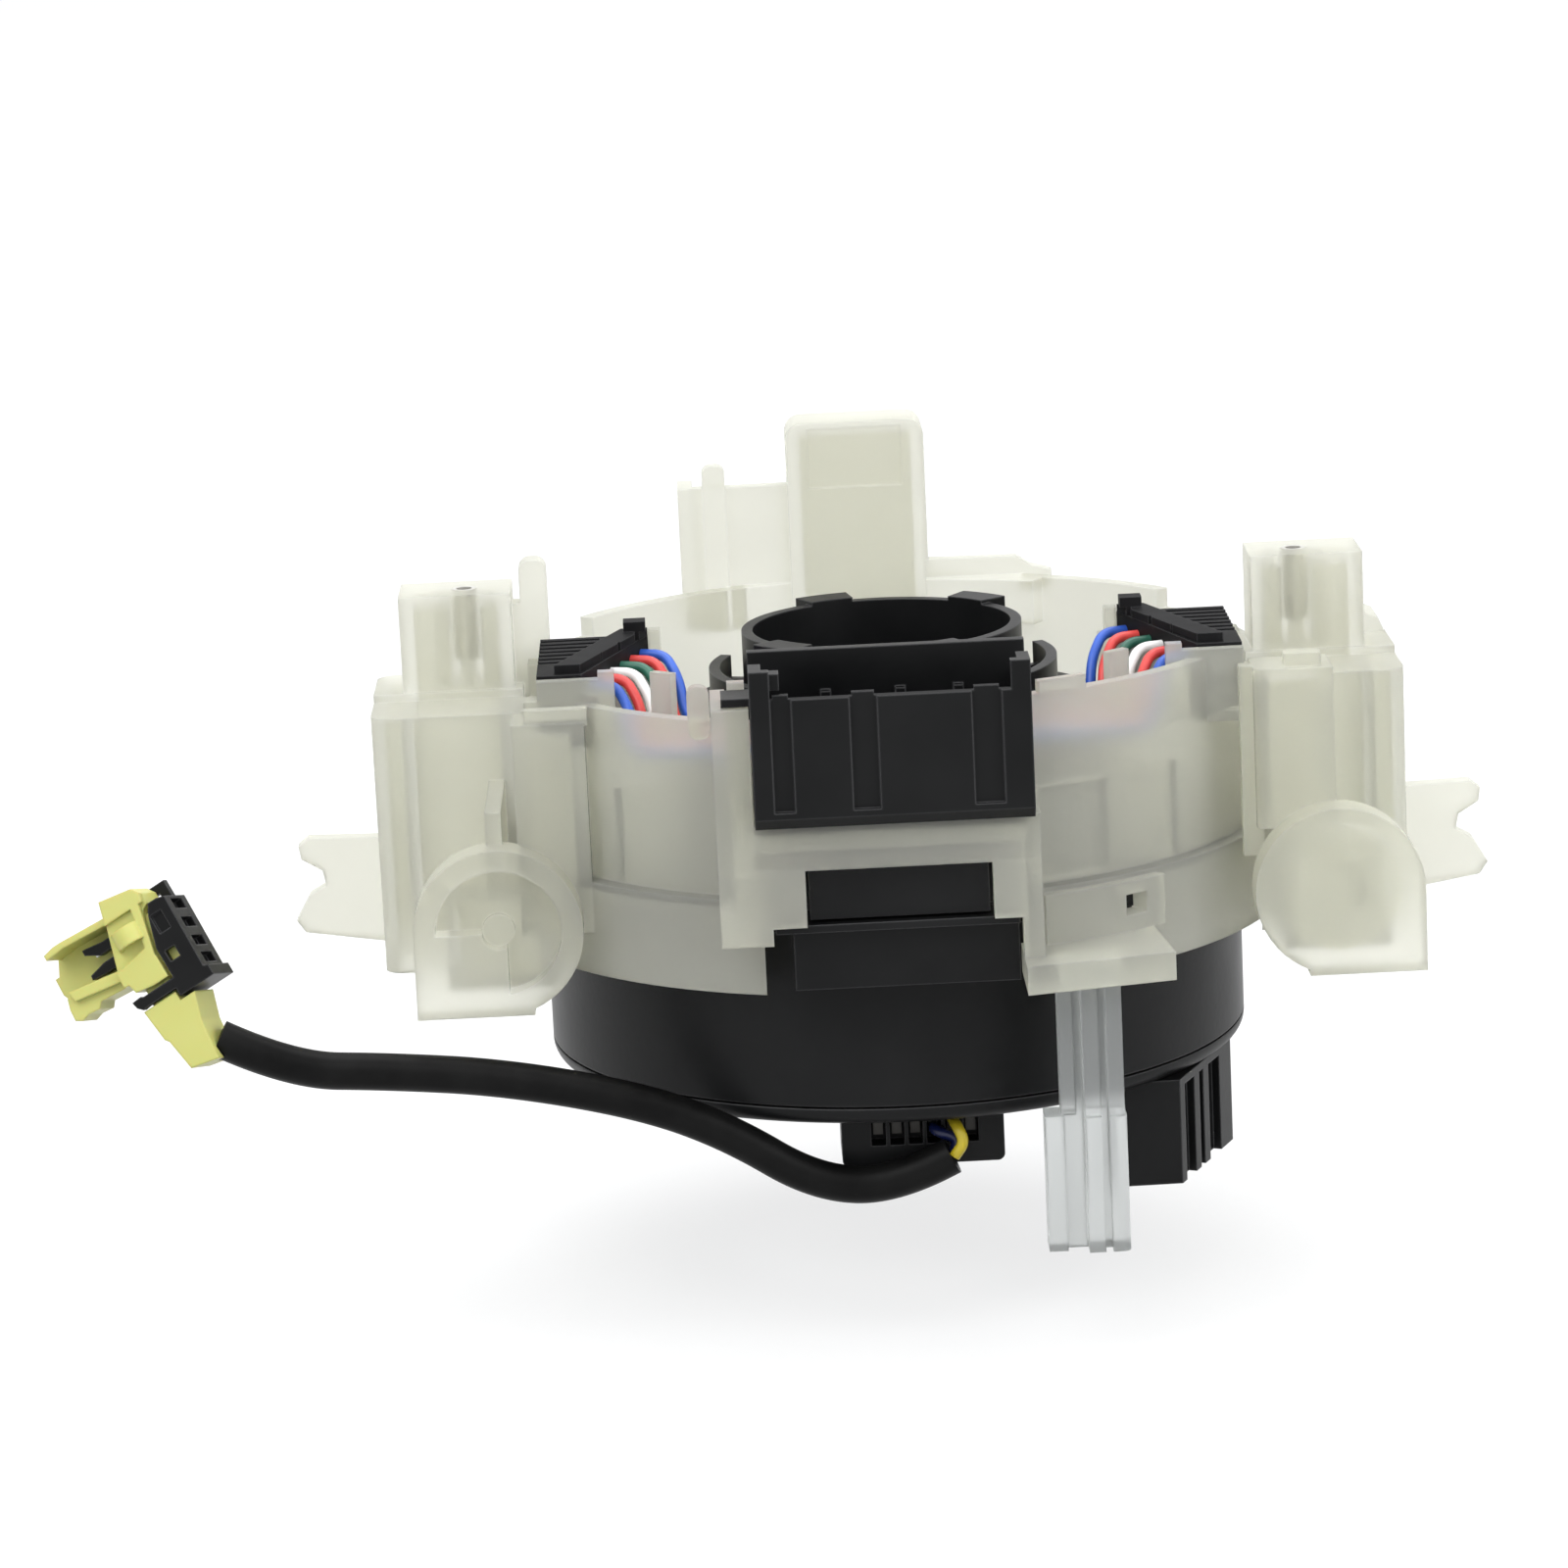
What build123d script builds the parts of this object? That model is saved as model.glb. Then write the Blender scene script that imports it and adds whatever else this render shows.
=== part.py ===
from build123d import *
import os
from math import atan2, cos, degrees, pi, radians, sin, tan

os.makedirs("parts", exist_ok=True)

# Clearances, in millimetres
run_gap = 0.3
fit_gap = 0.15
insert_gap = 0.06
lock_gap = 0.2

# Turning axis and the black drum
drum_r = 45.0
drum_wall = 2.0
flange_out = 3.7
flange_thick = 3.0
roof_z = 8.6
plate_bottom = -19.8
plate_thick = 2.2
plate_edge = 1.9
turret_in = 15.2
turret_top = 23.0
turret_wall = 2.0

# Rotor collar
collar_r = 18.0
collar_wall = 1.4
collar_top = 34.2
ear_out = 2.6
ear_half = 10.0
ear_turn = -11.5
ear_spread = 32.4
ear_rise = 0.5
ear_depth = 4.5
guard_out = 4.4
guard_wall = 1.4
guard_top = 29.5
guard_lift = 1.0
guard_start = 158.0
guard_span = 222.0
guard_webs = 7
web_first = 5.0
web_step = 35.3
web_wide = 1.4
web_high = 3.6

# Ribbon cable inside the drum
ribbon_thick = 0.4
ribbon_in = 4.2
ribbon_slack = 1.5
ribbon_turns = 5
slip_thick = 0.5
spigot_thick = 1.8
spigot_high = 5.0

# Carrier: ring wall, skirt and shoulder
carrier_wall = 2.0
ring_inset = 0.2
ring_top = 31.6
ring_raise = 1.9
raise_start = -72.0
raise_span = 40.0
skirt_wall = 1.65
skirt_bottom = -1.7
shoulder = 1.4
mouth_start = -28.0
mouth_span = 64.0
mouth_z = 29.0
brow_start = -69.0
brow_span = 7.5
brow_thick = 1.2
brow_high = 1.6
inner_rib_span = 12.0
inner_rib_thick = 1.4
inner_rib_high = 11.5
band_start = -71.0
band_span = 19.0
band_out = 1.5
band_top = 9.4

# Snap window of the skirt and the latch nose of the drum
window_angle = -57.0
window_z = 5.6
window_w = 3.2
window_h = 2.6
nose_out = 1.5
nose_slack = 0.4

# Open harness socket in front
bracket_reach = 10.0
box_proud = 3.0
box_left = -17.7
box_right = 15.7
box_back_in = 1.0
box_floor_z = 21.0
box_front_top = 36.9
box_top = 40.4
box_wall = 1.5
box_post = 2.4
box_wing = 5.0
box_edge = 1.4
key_ribs = (-9.0, 0.0, 7.0)
key_wide = 1.2
key_deep = 1.1
key_short = 3.0
grooves = ((-15.3, -12.8), (-5.9, -2.6), (8.6, 12.2))
groove_low = 23.2
groove_deep = 0.7
crest_high = 0.5
lug_drop = 2.6
lug_high = 2.0
lug_deep = 2.4
lug_wide = 3.6
catch_left = -21.1
catch_z = 35.5
catch_high = 1.0
catch_front = 1.0
catch_deep = 5.5
pin_w = 0.64
pin_rows = 2
pin_columns = 8
pin_pitch = 3.2
pin_row_gap = 3.4
pins_behind_front = 9.0
pin_high = 9.5

# Bracket that carries the harness socket
bracket_thick = 2.4
bracket_left = -22.4
bracket_right = 16.4
opening_left = -12.0
opening_right = 10.5
opening_top = 15.3
opening_step_z = 8.3
step_left = -16.1
step_right = 13.9
post_bottom = 6.2
post_top = 35.3
cheek_lift = 3.8
cheek_wall = 1.8
cheek_back_in = 3.0
sill_high = 2.0
seat_thick = 1.5
skirt_gap_left = -17.2
tab_left = -20.3
tab_right = -18.2
tab_top = 37.1
tab_front = 7.8
tab_thick = 1.6
finger_x = -23.85
finger_w = 2.7
finger_top = 36.2
finger_thick = 1.8
finger_in = 2.6
finger_round = 1.2

# Boss, ledge and band of the drum under the bracket
boss_slack = 0.4
boss_top_slack = 0.3
ledge_drop = 1.1
ledge_thick = 1.0
ledge_back = 1.6
drum_band_low = -0.6
drum_band_left = 2.4
drum_band_out = 5.5

# Shelf for the transport lock, and the lock pin
shelf_top = 3.2
shelf_thick = 3.5
shelf_far = ((0.0, -4.3), (18.1, -0.4), (16.5, 14.2), (0.0, 7.5))
pin_step_z = -17.0
pin_bottom = -34.0
pin_depth = 2.6
pin_round = 1.0
pin_slot_wide = 0.9
pin_neck = ((17.6, 19.4, 1.4, 4.4), (19.3, 20.5, 2.2, 3.5), (20.4, 25.3, 0.6, 5.4))
pin_body = ((15.6, 17.9, 0.8, 5.2), (17.8, 20.5, 2.2, 3.5), (20.4, 25.5, -0.4, 6.2))

# Side towers and side bodies
tower_off = 2.2
tower_wide = 14.3
tower_half = 5.0
tower_top = 41.5
tower_wall = 1.8
side_more = 3.8
side_top = 29.2
side_front = -16.0
side_back = 7.0
side_bottom = -4.8
side_round = 2.5
side_lap = 1.0
side_web = 1.6
shoulder_plan = ((-0.6, 28.0), (-0.6, 32.1), (0.4, 32.1), (2.9, 31.0), (3.8, 28.8), (3.8, 28.0))
shoulder_from = -3.6
shoulder_wide = 8.0
insert_in = 6.0
insert_r = 1.55
insert_bore = 1.0
insert_boss = 3.8
insert_len = 9.0
insert_seat = 3.0
left_peg_in = 2.85
left_peg_w = 3.5
left_peg_top = 45.0
left_peg_thick = 3.2
left_peg_round = 1.4
peg_web_w = 3.6
peg_root = 6.0

# Forks at both ends
fork_thick = 2.4
fork_plan = (
    (-1.0, 9.6),
    (9.9, 9.9),
    (11.2, 8.9),
    (10.9, 7.2),
    (8.3, 5.6),
    (7.9, 3.6),
    (10.1, 2.4),
    (12.0, -0.9),
    (10.9, -2.5),
    (4.7, -3.5),
    (-1.0, -4.4),
)

# Round pads on their arms
pad_r = 10.5
pad_rim = 2.7
pad_in = 7.0
pad_thick = 5.0
pad_floor = 2.0
pad_hub_r = 2.0
pad_band = 2.0
pad_left_off = 2.6
pad_right_off = 6.8
pad_z = 5.2
pad_foot = 4.0
pad_foot_high = 3.0
arm_side = 13.0
arm_hole = 9.8
arm_drop = 1.5
rib_thick = 2.0
rib_rise = 4.0
rib_front = 1.6
right_ring = 1.4

# Posts at both ends of the front wall
post_front = -33.4
post_back = -24.0
post_wall = 1.8
post_round = 1.2
left_post = (-0.2, -9.2, 3.6, 30.2)
right_post = (-2.7, 7.0, 12.5, 32.6)
post_web_top = 22.0
post_lap = 1.2
link_left = 7.0
link_right = 1.7
link_front = -30.8
link_back = -28.9
cap_lift = 1.7
cap_sink = 0.5
cap_left = (-1.8, -9.6, 0.4, 2.2)
cap_right = (1.1, 5.6, 0.8, 3.2)

# Rear tower and its side wall
rear_left = -10.6
rear_right = 8.1
rear_off = 3.4
rear_depth = 9.0
rear_top = 53.6
rear_round = 2.2
rear_roof = 2.0
rear_panel = (2.9, 3.1, 44.7, 0.8)
rear_panel_deep = 0.4
rear_wall_left = -25.6
rear_wall_off = 1.4
rear_wall_top = 45.2
rear_wall_half = 1.0
rear_return = 6.0
rear_peg_in = 3.4
rear_peg_w = 3.1
rear_peg_high = 6.4
rear_root = 6.0
rear_plate = ((-0.5, -2.0), (16.7, -2.0), (16.7, 0.4), (13.9, 1.1), (12.1, 2.4), (-0.5, 2.6))
rear_plate_off = 0.8
rear_lug_start = 60.0
rear_lug_span = 20.0
rear_lug_deep = 4.9

# Side connectors, given for the right side and mirrored for the left
conn_face_in = 1.3
conn_long_w = 13.7
conn_short_w = 5.6
conn_back = -3.5
conn_front = -27.1
conn_top = 35.0
conn_bottom = 27.0
conn_wall = 1.4
conn_depth = 5.0
conn_pin = 3.2
conn_pin_lift = 0.45
conn_pitch = 3.2
conn_ways = 6
comb_slots = 7
comb_slot_w = 1.3
comb_pitch = 2.3
comb_depth = 0.9
comb_long = 7.6
comb_y = -12.0
tray_wall = 1.6
tray_floor = 1.6
tray_top = 32.2
tray_sill = 1.2
tray_mouth_high = 14.0
pocket_top = 34.6
pocket_long = 7.6
corner_post = 2.0
corner_top = 35.5
corner_back = 2.0
retainer_w = 3.4
retainer_thick = 1.1
retainer_in = 1.0
retainer_holes = ((3.2, -14.0), (5.3, -20.0), (1.1, -8.0))
retainer_hole = (1.0, 1.8)
retainer_grip = (0.2, 3.0, 2.6, 1.3)

# Wires of the side connectors, and the posts that guide them
wire_d = 1.3
wire_exit_z = 33.0
wire_dive_z = 25.5
wire_low_z = 24.2
wire_step_z = 0.6
wire_end_x = 1.5
wire_step_x = 2.2
wire_out = (3.2, 5.0, 5.6)
wire_ahead = (0.0, 2.2, 4.7)
wire_run_in = 4.0
wire_first = 0.75
wire_share = 6.6
wire_names = ("blue", "red", "green", "white", "red_low", "blue_low")
guide_at = (-1.9, -26.4)
guide_turn = 38.0
guide_long = 3.2
guide_thick = 1.2
guide_low = 9.2
guide_web_top = 21.5
guide_top = 34.6

# Connector for the steering wheel harness
wheel_conn_bottom = -33.3
wheel_conn_wall = 1.8
wheel_conn_deep = 11.0
wheel_pin_len = 6.2
wheel_in = (18.5, 14.0)
wheel_plan = ((0.0, 0.0), (7.5, 0.2), (15.6, 18.5), (9.5, 23.0), (0.0, 11.0))
wheel_pin_places = ((3.5, 3.5), (3.5, 7.5), (4.0, 11.5), (7.5, 7.5), (8.5, 11.5), (10.0, 16.5))
wheel_slots = ((3.6, 3.8), (8.2, 1.6), (13.2, 4.4))
wheel_slot_deep = 1.1
wheel_slot_top = -20.8

# Connector of the airbag lead
pig_left = -8.8
pig_right = 11.4
pig_in = 6.8
pig_deep = 8.2
pig_bottom = -26.8
pig_round = 0.9
pig_slot_deep = 3.0
pig_slot_low = -24.2
pig_slot_high = -20.6
pig_slot_half = 0.9
pig_slots = (-4.2, -1.9, 0.4, 2.7, 5.0, 7.3)
pig_contact = (1.2, 1.6, 1.4)

# Airbag lead and the two wires that enter it: x, distance in front of the connector, z
lead_d = 4.7
inner_wire_d = 1.4
lead_ahead = 2.8
lead_route = (
    (4.7, 0.0, -25.1),
    (-2.3, 0.0, -28.2),
    (-12.2, 0.0, -28.2),
    (-22.8, 0.4, -22.0),
    (-33.6, 0.4, -16.5),
    (-50.0, 0.0, -13.2),
    (-64.2, 0.0, -11.3),
    (-76.0, 0.0, -9.3),
    (-84.6, 0.0, -5.4),
)
yellow_route = ((5.0, -1.45, -21.5), (5.4, 2.7, -21.3), (6.3, 3.6, -23.2), (4.96, 3.6, -24.98))
blue_route = ((2.7, -1.45, -22.4), (2.8, 1.0, -22.3), (5.5, 1.7, -23.3), (5.1, 2.0, -24.84))
bend_share = 0.45

# Plug of the airbag lead: its plane, then outlines along and across the plug
plug_x = -90.46
plug_z = 5.9
plug_behind = 4.4
plug_out = Vector(-0.845, 0.096, -0.526).normalized()
plug_side = Vector(0.479, -0.329, -0.823)
plug_half = 3.6
core_half = 2.3
exit_half = 3.3
head_near = 2.9
exit_plan = (
    (6.2, 6.1),
    (10.5, 5.6),
    (11.0, 5.2),
    (15.2, 4.5),
    (16.0, 0.8),
    (10.8, 0.2),
    (7.4, -0.9),
    (7.4, 1.3),
    (6.2, 1.3),
)
neck_plan = (2.0, 6.6, 1.4, 4.8)
core_plan = (-4.0, 4.3, -2.3, 1.4)
head_plan = (
    (-8.3, 3.9),
    (-7.5, -0.5),
    (-6.5, -1.2),
    (-5.0, -1.2),
    (-4.6, -0.4),
    (-3.4, 0.2),
    (0.5, 1.0),
    (4.1, 1.0),
    (4.1, 3.2),
    (3.7, 5.6),
    (2.5, 5.9),
    (2.4, 6.6),
    (0.4, 6.6),
    (-4.5, 5.1),
    (-6.5, 4.4),
)
cap_plan = ((-8.3, 3.9), (-7.5, -0.5), (-6.5, -1.2), (-5.4, -0.9), (-5.4, 4.8), (-6.5, 4.4))
foot_plan = (
    (-0.4, 1.6),
    (1.2, 1.0),
    (4.1, 1.0),
    (4.1, 3.2),
    (3.7, 5.6),
    (2.5, 5.9),
    (2.4, 6.6),
    (0.4, 6.6),
)
rail_plan = ((-5.5, -0.4), (-4.6, -0.2), (1.0, 1.1), (1.0, 2.0), (-5.5, 0.8))
strap_at = 2.9
strap_r = 2.0
strap_wall = 0.6
strap_from = -3.9
strap_wide = 2.3
floor_plan = (
    (-6.4, 4.0),
    (-6.9, 11.1),
    (-6.9, 12.2),
    (-6.6, 13.7),
    (-4.2, 15.0),
    (-4.2, 15.6),
    (-2.0, 15.7),
    (0.7, 14.6),
    (2.2, 14.7),
    (2.7, 13.9),
    (2.4, 12.8),
    (2.6, 11.2),
    (1.9, 10.6),
    (2.3, 6.2),
)
floor_near = 1.9
barrel_half = 2.9
top_wall_plan = (
    (-6.4, 4.2),
    (-6.9, 11.1),
    (-6.9, 12.2),
    (-6.6, 13.7),
    (-5.9, 13.7),
    (-6.1, 11.0),
    (-5.6, 4.8),
)
low_wall_plan = (
    (0.1, 6.2),
    (-1.1, 13.4),
    (-0.6, 14.2),
    (0.7, 14.6),
    (2.2, 14.7),
    (2.7, 13.9),
    (2.4, 12.8),
    (2.6, 11.2),
    (1.9, 10.6),
    (2.3, 6.2),
)
low_wall_near = 2.0
low_lip_plan = ((0.1, 6.2), (-1.1, 13.4), (0.3, 13.2), (1.5, 6.2))
prong_plans = (
    ((-4.4, -2.9), (-3.1, -2.9), (-3.1, 8.0), (-4.1, 9.7), (-4.8, 9.7), (-4.8, 9.3), (-4.4, 6.8)),
    ((-2.1, -2.9), (-0.8, -2.9), (-0.8, 8.3), (-1.0, 10.4), (-1.6, 10.3), (-2.1, 8.0)),
)
prong_slots = ((-5.1, -2.8), (-2.4, -0.5))
prong_slot_y = (-2.4, 7.6)
prong_near = 1.2
prong_thick = 1.6
contact_x = ((-4.6, -3.5), (-2.0, -0.9))
contact_y = (6.4, 9.2)
contact_high = 0.9
far_groove = (-7.7, -5.8)
far_arm = (-7.3, -6.1)
far_arm_tip = 8.4
plate_plan = (
    (-4.8, -2.6),
    (-4.5, -3.8),
    (5.4, -3.6),
    (5.6, -4.2),
    (7.0, -4.2),
    (7.0, 0.9),
    (5.6, 0.9),
    (5.4, -2.6),
)
skirt_plan = ((-4.8, -2.8), (-4.8, -1.5), (-3.4, -0.7), (0.5, 0.5), (5.6, 0.5), (5.6, -2.8))
skirt_recess = (-3.3, -0.8, -2.5, -0.9)
skirt_recess_deep = 0.5
plug_window = (1.3, 2.8, -1.7, -0.3)
arm_plan = ((4.6, -2.8), (5.9, -2.8), (5.9, 5.2), (6.0, 5.9), (5.4, 6.5), (4.5, 6.7), (4.4, 5.4), (4.6, 5.2))
plate_slots = (-3.4, -0.8, 1.8, 4.2)
plate_slot_half = 0.7
plate_slot_deep = 0.9
plate_slot_wide = 2.0

# Radii and places that follow from the values above
drum_bottom = plate_bottom + plate_thick + run_gap
plate_top = plate_bottom + plate_thick
turret_r = drum_r - turret_in
flange_r = drum_r + flange_out
ring_r = flange_r - ring_inset
ring_inner = ring_r - carrier_wall
skirt_r = flange_r + run_gap + skirt_wall
collar_bore = collar_r - collar_wall
guard_r = collar_r + guard_out
spigot_r = collar_r + spigot_thick
ribbon_inner = spigot_r + ribbon_in
ribbon_outer = drum_r - drum_wall - ribbon_slack
bracket_front = -drum_r - bracket_reach
bracket_inner = bracket_front + bracket_thick
box_front = bracket_front - box_proud
box_back = -drum_r + box_back_in
seat_back = box_back + fit_gap
pins_at = ((box_left + box_right) / 2, box_front + pins_behind_front)
shelf_low = shelf_top - shelf_thick
tower_in = drum_r + tower_off
tower_out = tower_in + tower_wide
side_out = tower_out + side_more
insert_x = tower_in + insert_in
insert_low = tower_top - insert_len
pad_front = -drum_r + pad_in
pad_back = pad_front + pad_thick
rear_y = drum_r + rear_off
rear_wall_y = drum_r + rear_wall_off
conn_face = drum_r - conn_face_in
conn_near = (conn_face - conn_long_w, conn_back)
conn_far = (conn_face - conn_short_w, conn_front)
conn_middle_y = (conn_back + conn_front) / 2
wheel_at = (drum_r - wheel_in[0], wheel_in[1] - drum_r)
pig_front = pig_in - drum_r
pig_back = pig_front + pig_deep
lead_y = pig_front - lead_ahead
plug_origin = Vector(plug_x, lead_y + plug_behind, plug_z)
plug_long = (plug_side - plug_out * plug_side.dot(plug_out)).normalized()
plug_plane = Plane(origin=plug_origin, x_dir=plug_long, z_dir=plug_long.cross(plug_out))


def ring_sector(outer, inner, start, size):
    """Face between two radii, from the angle start over size degrees."""
    with BuildSketch() as sector:
        with BuildLine():
            CenterArc((0, 0), outer, start, size)
            CenterArc((0, 0), inner, start, size)
            for angle in (start, start + size):
                c = cos(radians(angle))
                s = sin(radians(angle))
                Line((inner * c, inner * s), (outer * c, outer * s))
        make_face()
    return sector.sketch


def outline(points):
    """Face inside a closed outline of straight edges."""
    with BuildSketch() as shape:
        with BuildLine():
            Polyline(*points, close=True)
        make_face()
    return shape.sketch


def conn_plan(side):
    """Footprint of a side connector: a block with a slanted inner side."""
    return outline(
        (
            (side * conn_near[0], conn_near[1]),
            (side * conn_far[0], conn_far[1]),
            (side * conn_face, conn_far[1]),
            (side * conn_face, conn_near[1]),
        )
    )


def span(x0, x1, y0, y1):
    """Rectangle from corner to corner in the current sketch."""
    with Locations(((x0 + x1) / 2, (y0 + y1) / 2)):
        Rectangle(abs(x1 - x0), abs(y1 - y0))


def spiral(outward):
    """Points of the wound cable, from the hub to the drum wall."""
    points = []
    for step in range(ribbon_turns * 12 + 1):
        share = step / (ribbon_turns * 12)
        reach = ribbon_inner + (ribbon_outer - ribbon_inner) * share + outward
        angle = radians(step * 30)
        points.append((reach * cos(angle), reach * sin(angle)))
    return points


def tube(points, diameter):
    """Round cord along straight runs joined by arcs; its bend radii are printed."""
    radii = []
    for before, corner, after in zip(points, points[1:], points[2:]):
        into = Vector(*corner) - Vector(*before)
        out = Vector(*after) - Vector(*corner)
        half_turn = radians(into.get_angle(out)) / 2
        radii.append(bend_share * min(into.length, out.length) / tan(half_turn))
    print("bend radii", [round(r, 1) for r in radii])
    with BuildPart() as cord:
        with BuildLine() as path:
            FilletPolyline(*points, radius=radii)
        with BuildSketch(Plane(origin=path.line @ 0, z_dir=path.line % 0)):
            Circle(diameter / 2)
        sweep()
    length = sum(edge.length for edge in path.edges())
    print("volume to section times length", round(cord.part.volume / (length * pi * diameter**2 / 4), 3))
    return cord.part


def before_connector(route):
    """Route in the part's frame, from distances in front of the lead's connector."""
    return [(x, pig_front - ahead, z) for x, ahead, z in route]


def switch_wire(side, row):
    """Route of one wire: out of a side connector, down behind the front wall, to the harness socket."""
    share = (row + wire_first) / wire_share
    along = Vector(conn_far[0] - conn_near[0], conn_far[1] - conn_near[1])
    inward = Vector(along.Y, -along.X).normalized()
    start = Vector(conn_near[0], conn_near[1], wire_exit_z) + along * share
    levels = (wire_exit_z, (wire_exit_z + wire_dive_z) / 2 + 1, wire_dive_z)
    route = [start]
    for away, ahead, level in zip(wire_out, wire_ahead, levels):
        corner = start + inward * away - Vector(0, ahead, 0)
        route.append(Vector(corner.X, corner.Y, level))
    end_x = wire_end_x + wire_step_x * row
    end_z = wire_low_z + wire_step_z * row
    route.append(Vector(end_x, box_back + wire_run_in, end_z))
    route.append(Vector(end_x, box_back, end_z))
    return [(side * point.X, point.Y, point.Z) for point in route]


# Drum: the black stator housing, one moulding
with BuildPart() as drum:
    with BuildSketch(Plane.XZ):
        with BuildLine():
            Polyline(
                (drum_r, drum_bottom),
                (drum_r, roof_z - flange_thick),
                (flange_r, roof_z - flange_thick),
                (flange_r, roof_z),
                (turret_r, roof_z),
                (turret_r, turret_top),
                (collar_r + 2 * run_gap, turret_top),
                (collar_r + 2 * run_gap, turret_top - turret_wall),
                (turret_r - turret_wall, turret_top - turret_wall),
                (turret_r - turret_wall, roof_z - drum_wall),
                (drum_r - drum_wall, roof_z - drum_wall),
                (drum_r - drum_wall, drum_bottom),
                close=True,
            )
        make_face()
    revolve(axis=Axis.Z)
    # boss, ledge and band under the harness socket
    with BuildSketch(Plane.XY.offset(roof_z)):
        span(opening_left + boss_slack, opening_right - boss_slack, bracket_inner + run_gap, box_back)
    extrude(amount=opening_top - roof_z - boss_top_slack)
    with BuildSketch(Plane.XY.offset(opening_step_z - ledge_drop)):
        span(step_left + run_gap, step_right - run_gap, bracket_front + ledge_back, box_back)
    extrude(amount=ledge_thick)
    with BuildSketch(Plane.XY.offset(drum_band_low)):
        span(step_left + drum_band_left, step_right - run_gap, -drum_r - drum_band_out, box_back)
    extrude(amount=opening_step_z - ledge_drop - drum_band_low + ledge_thick / 2)
    # latch nose for the snap window of the skirt
    with BuildSketch(Plane.XY.offset(window_z)):
        with PolarLocations(flange_r + nose_out / 2 - nose_slack, 1, start_angle=window_angle):
            Rectangle(nose_out, window_w - 2 * nose_slack)
    extrude(amount=window_h - 2 * nose_slack)
drum.part.label = "drum"

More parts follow.
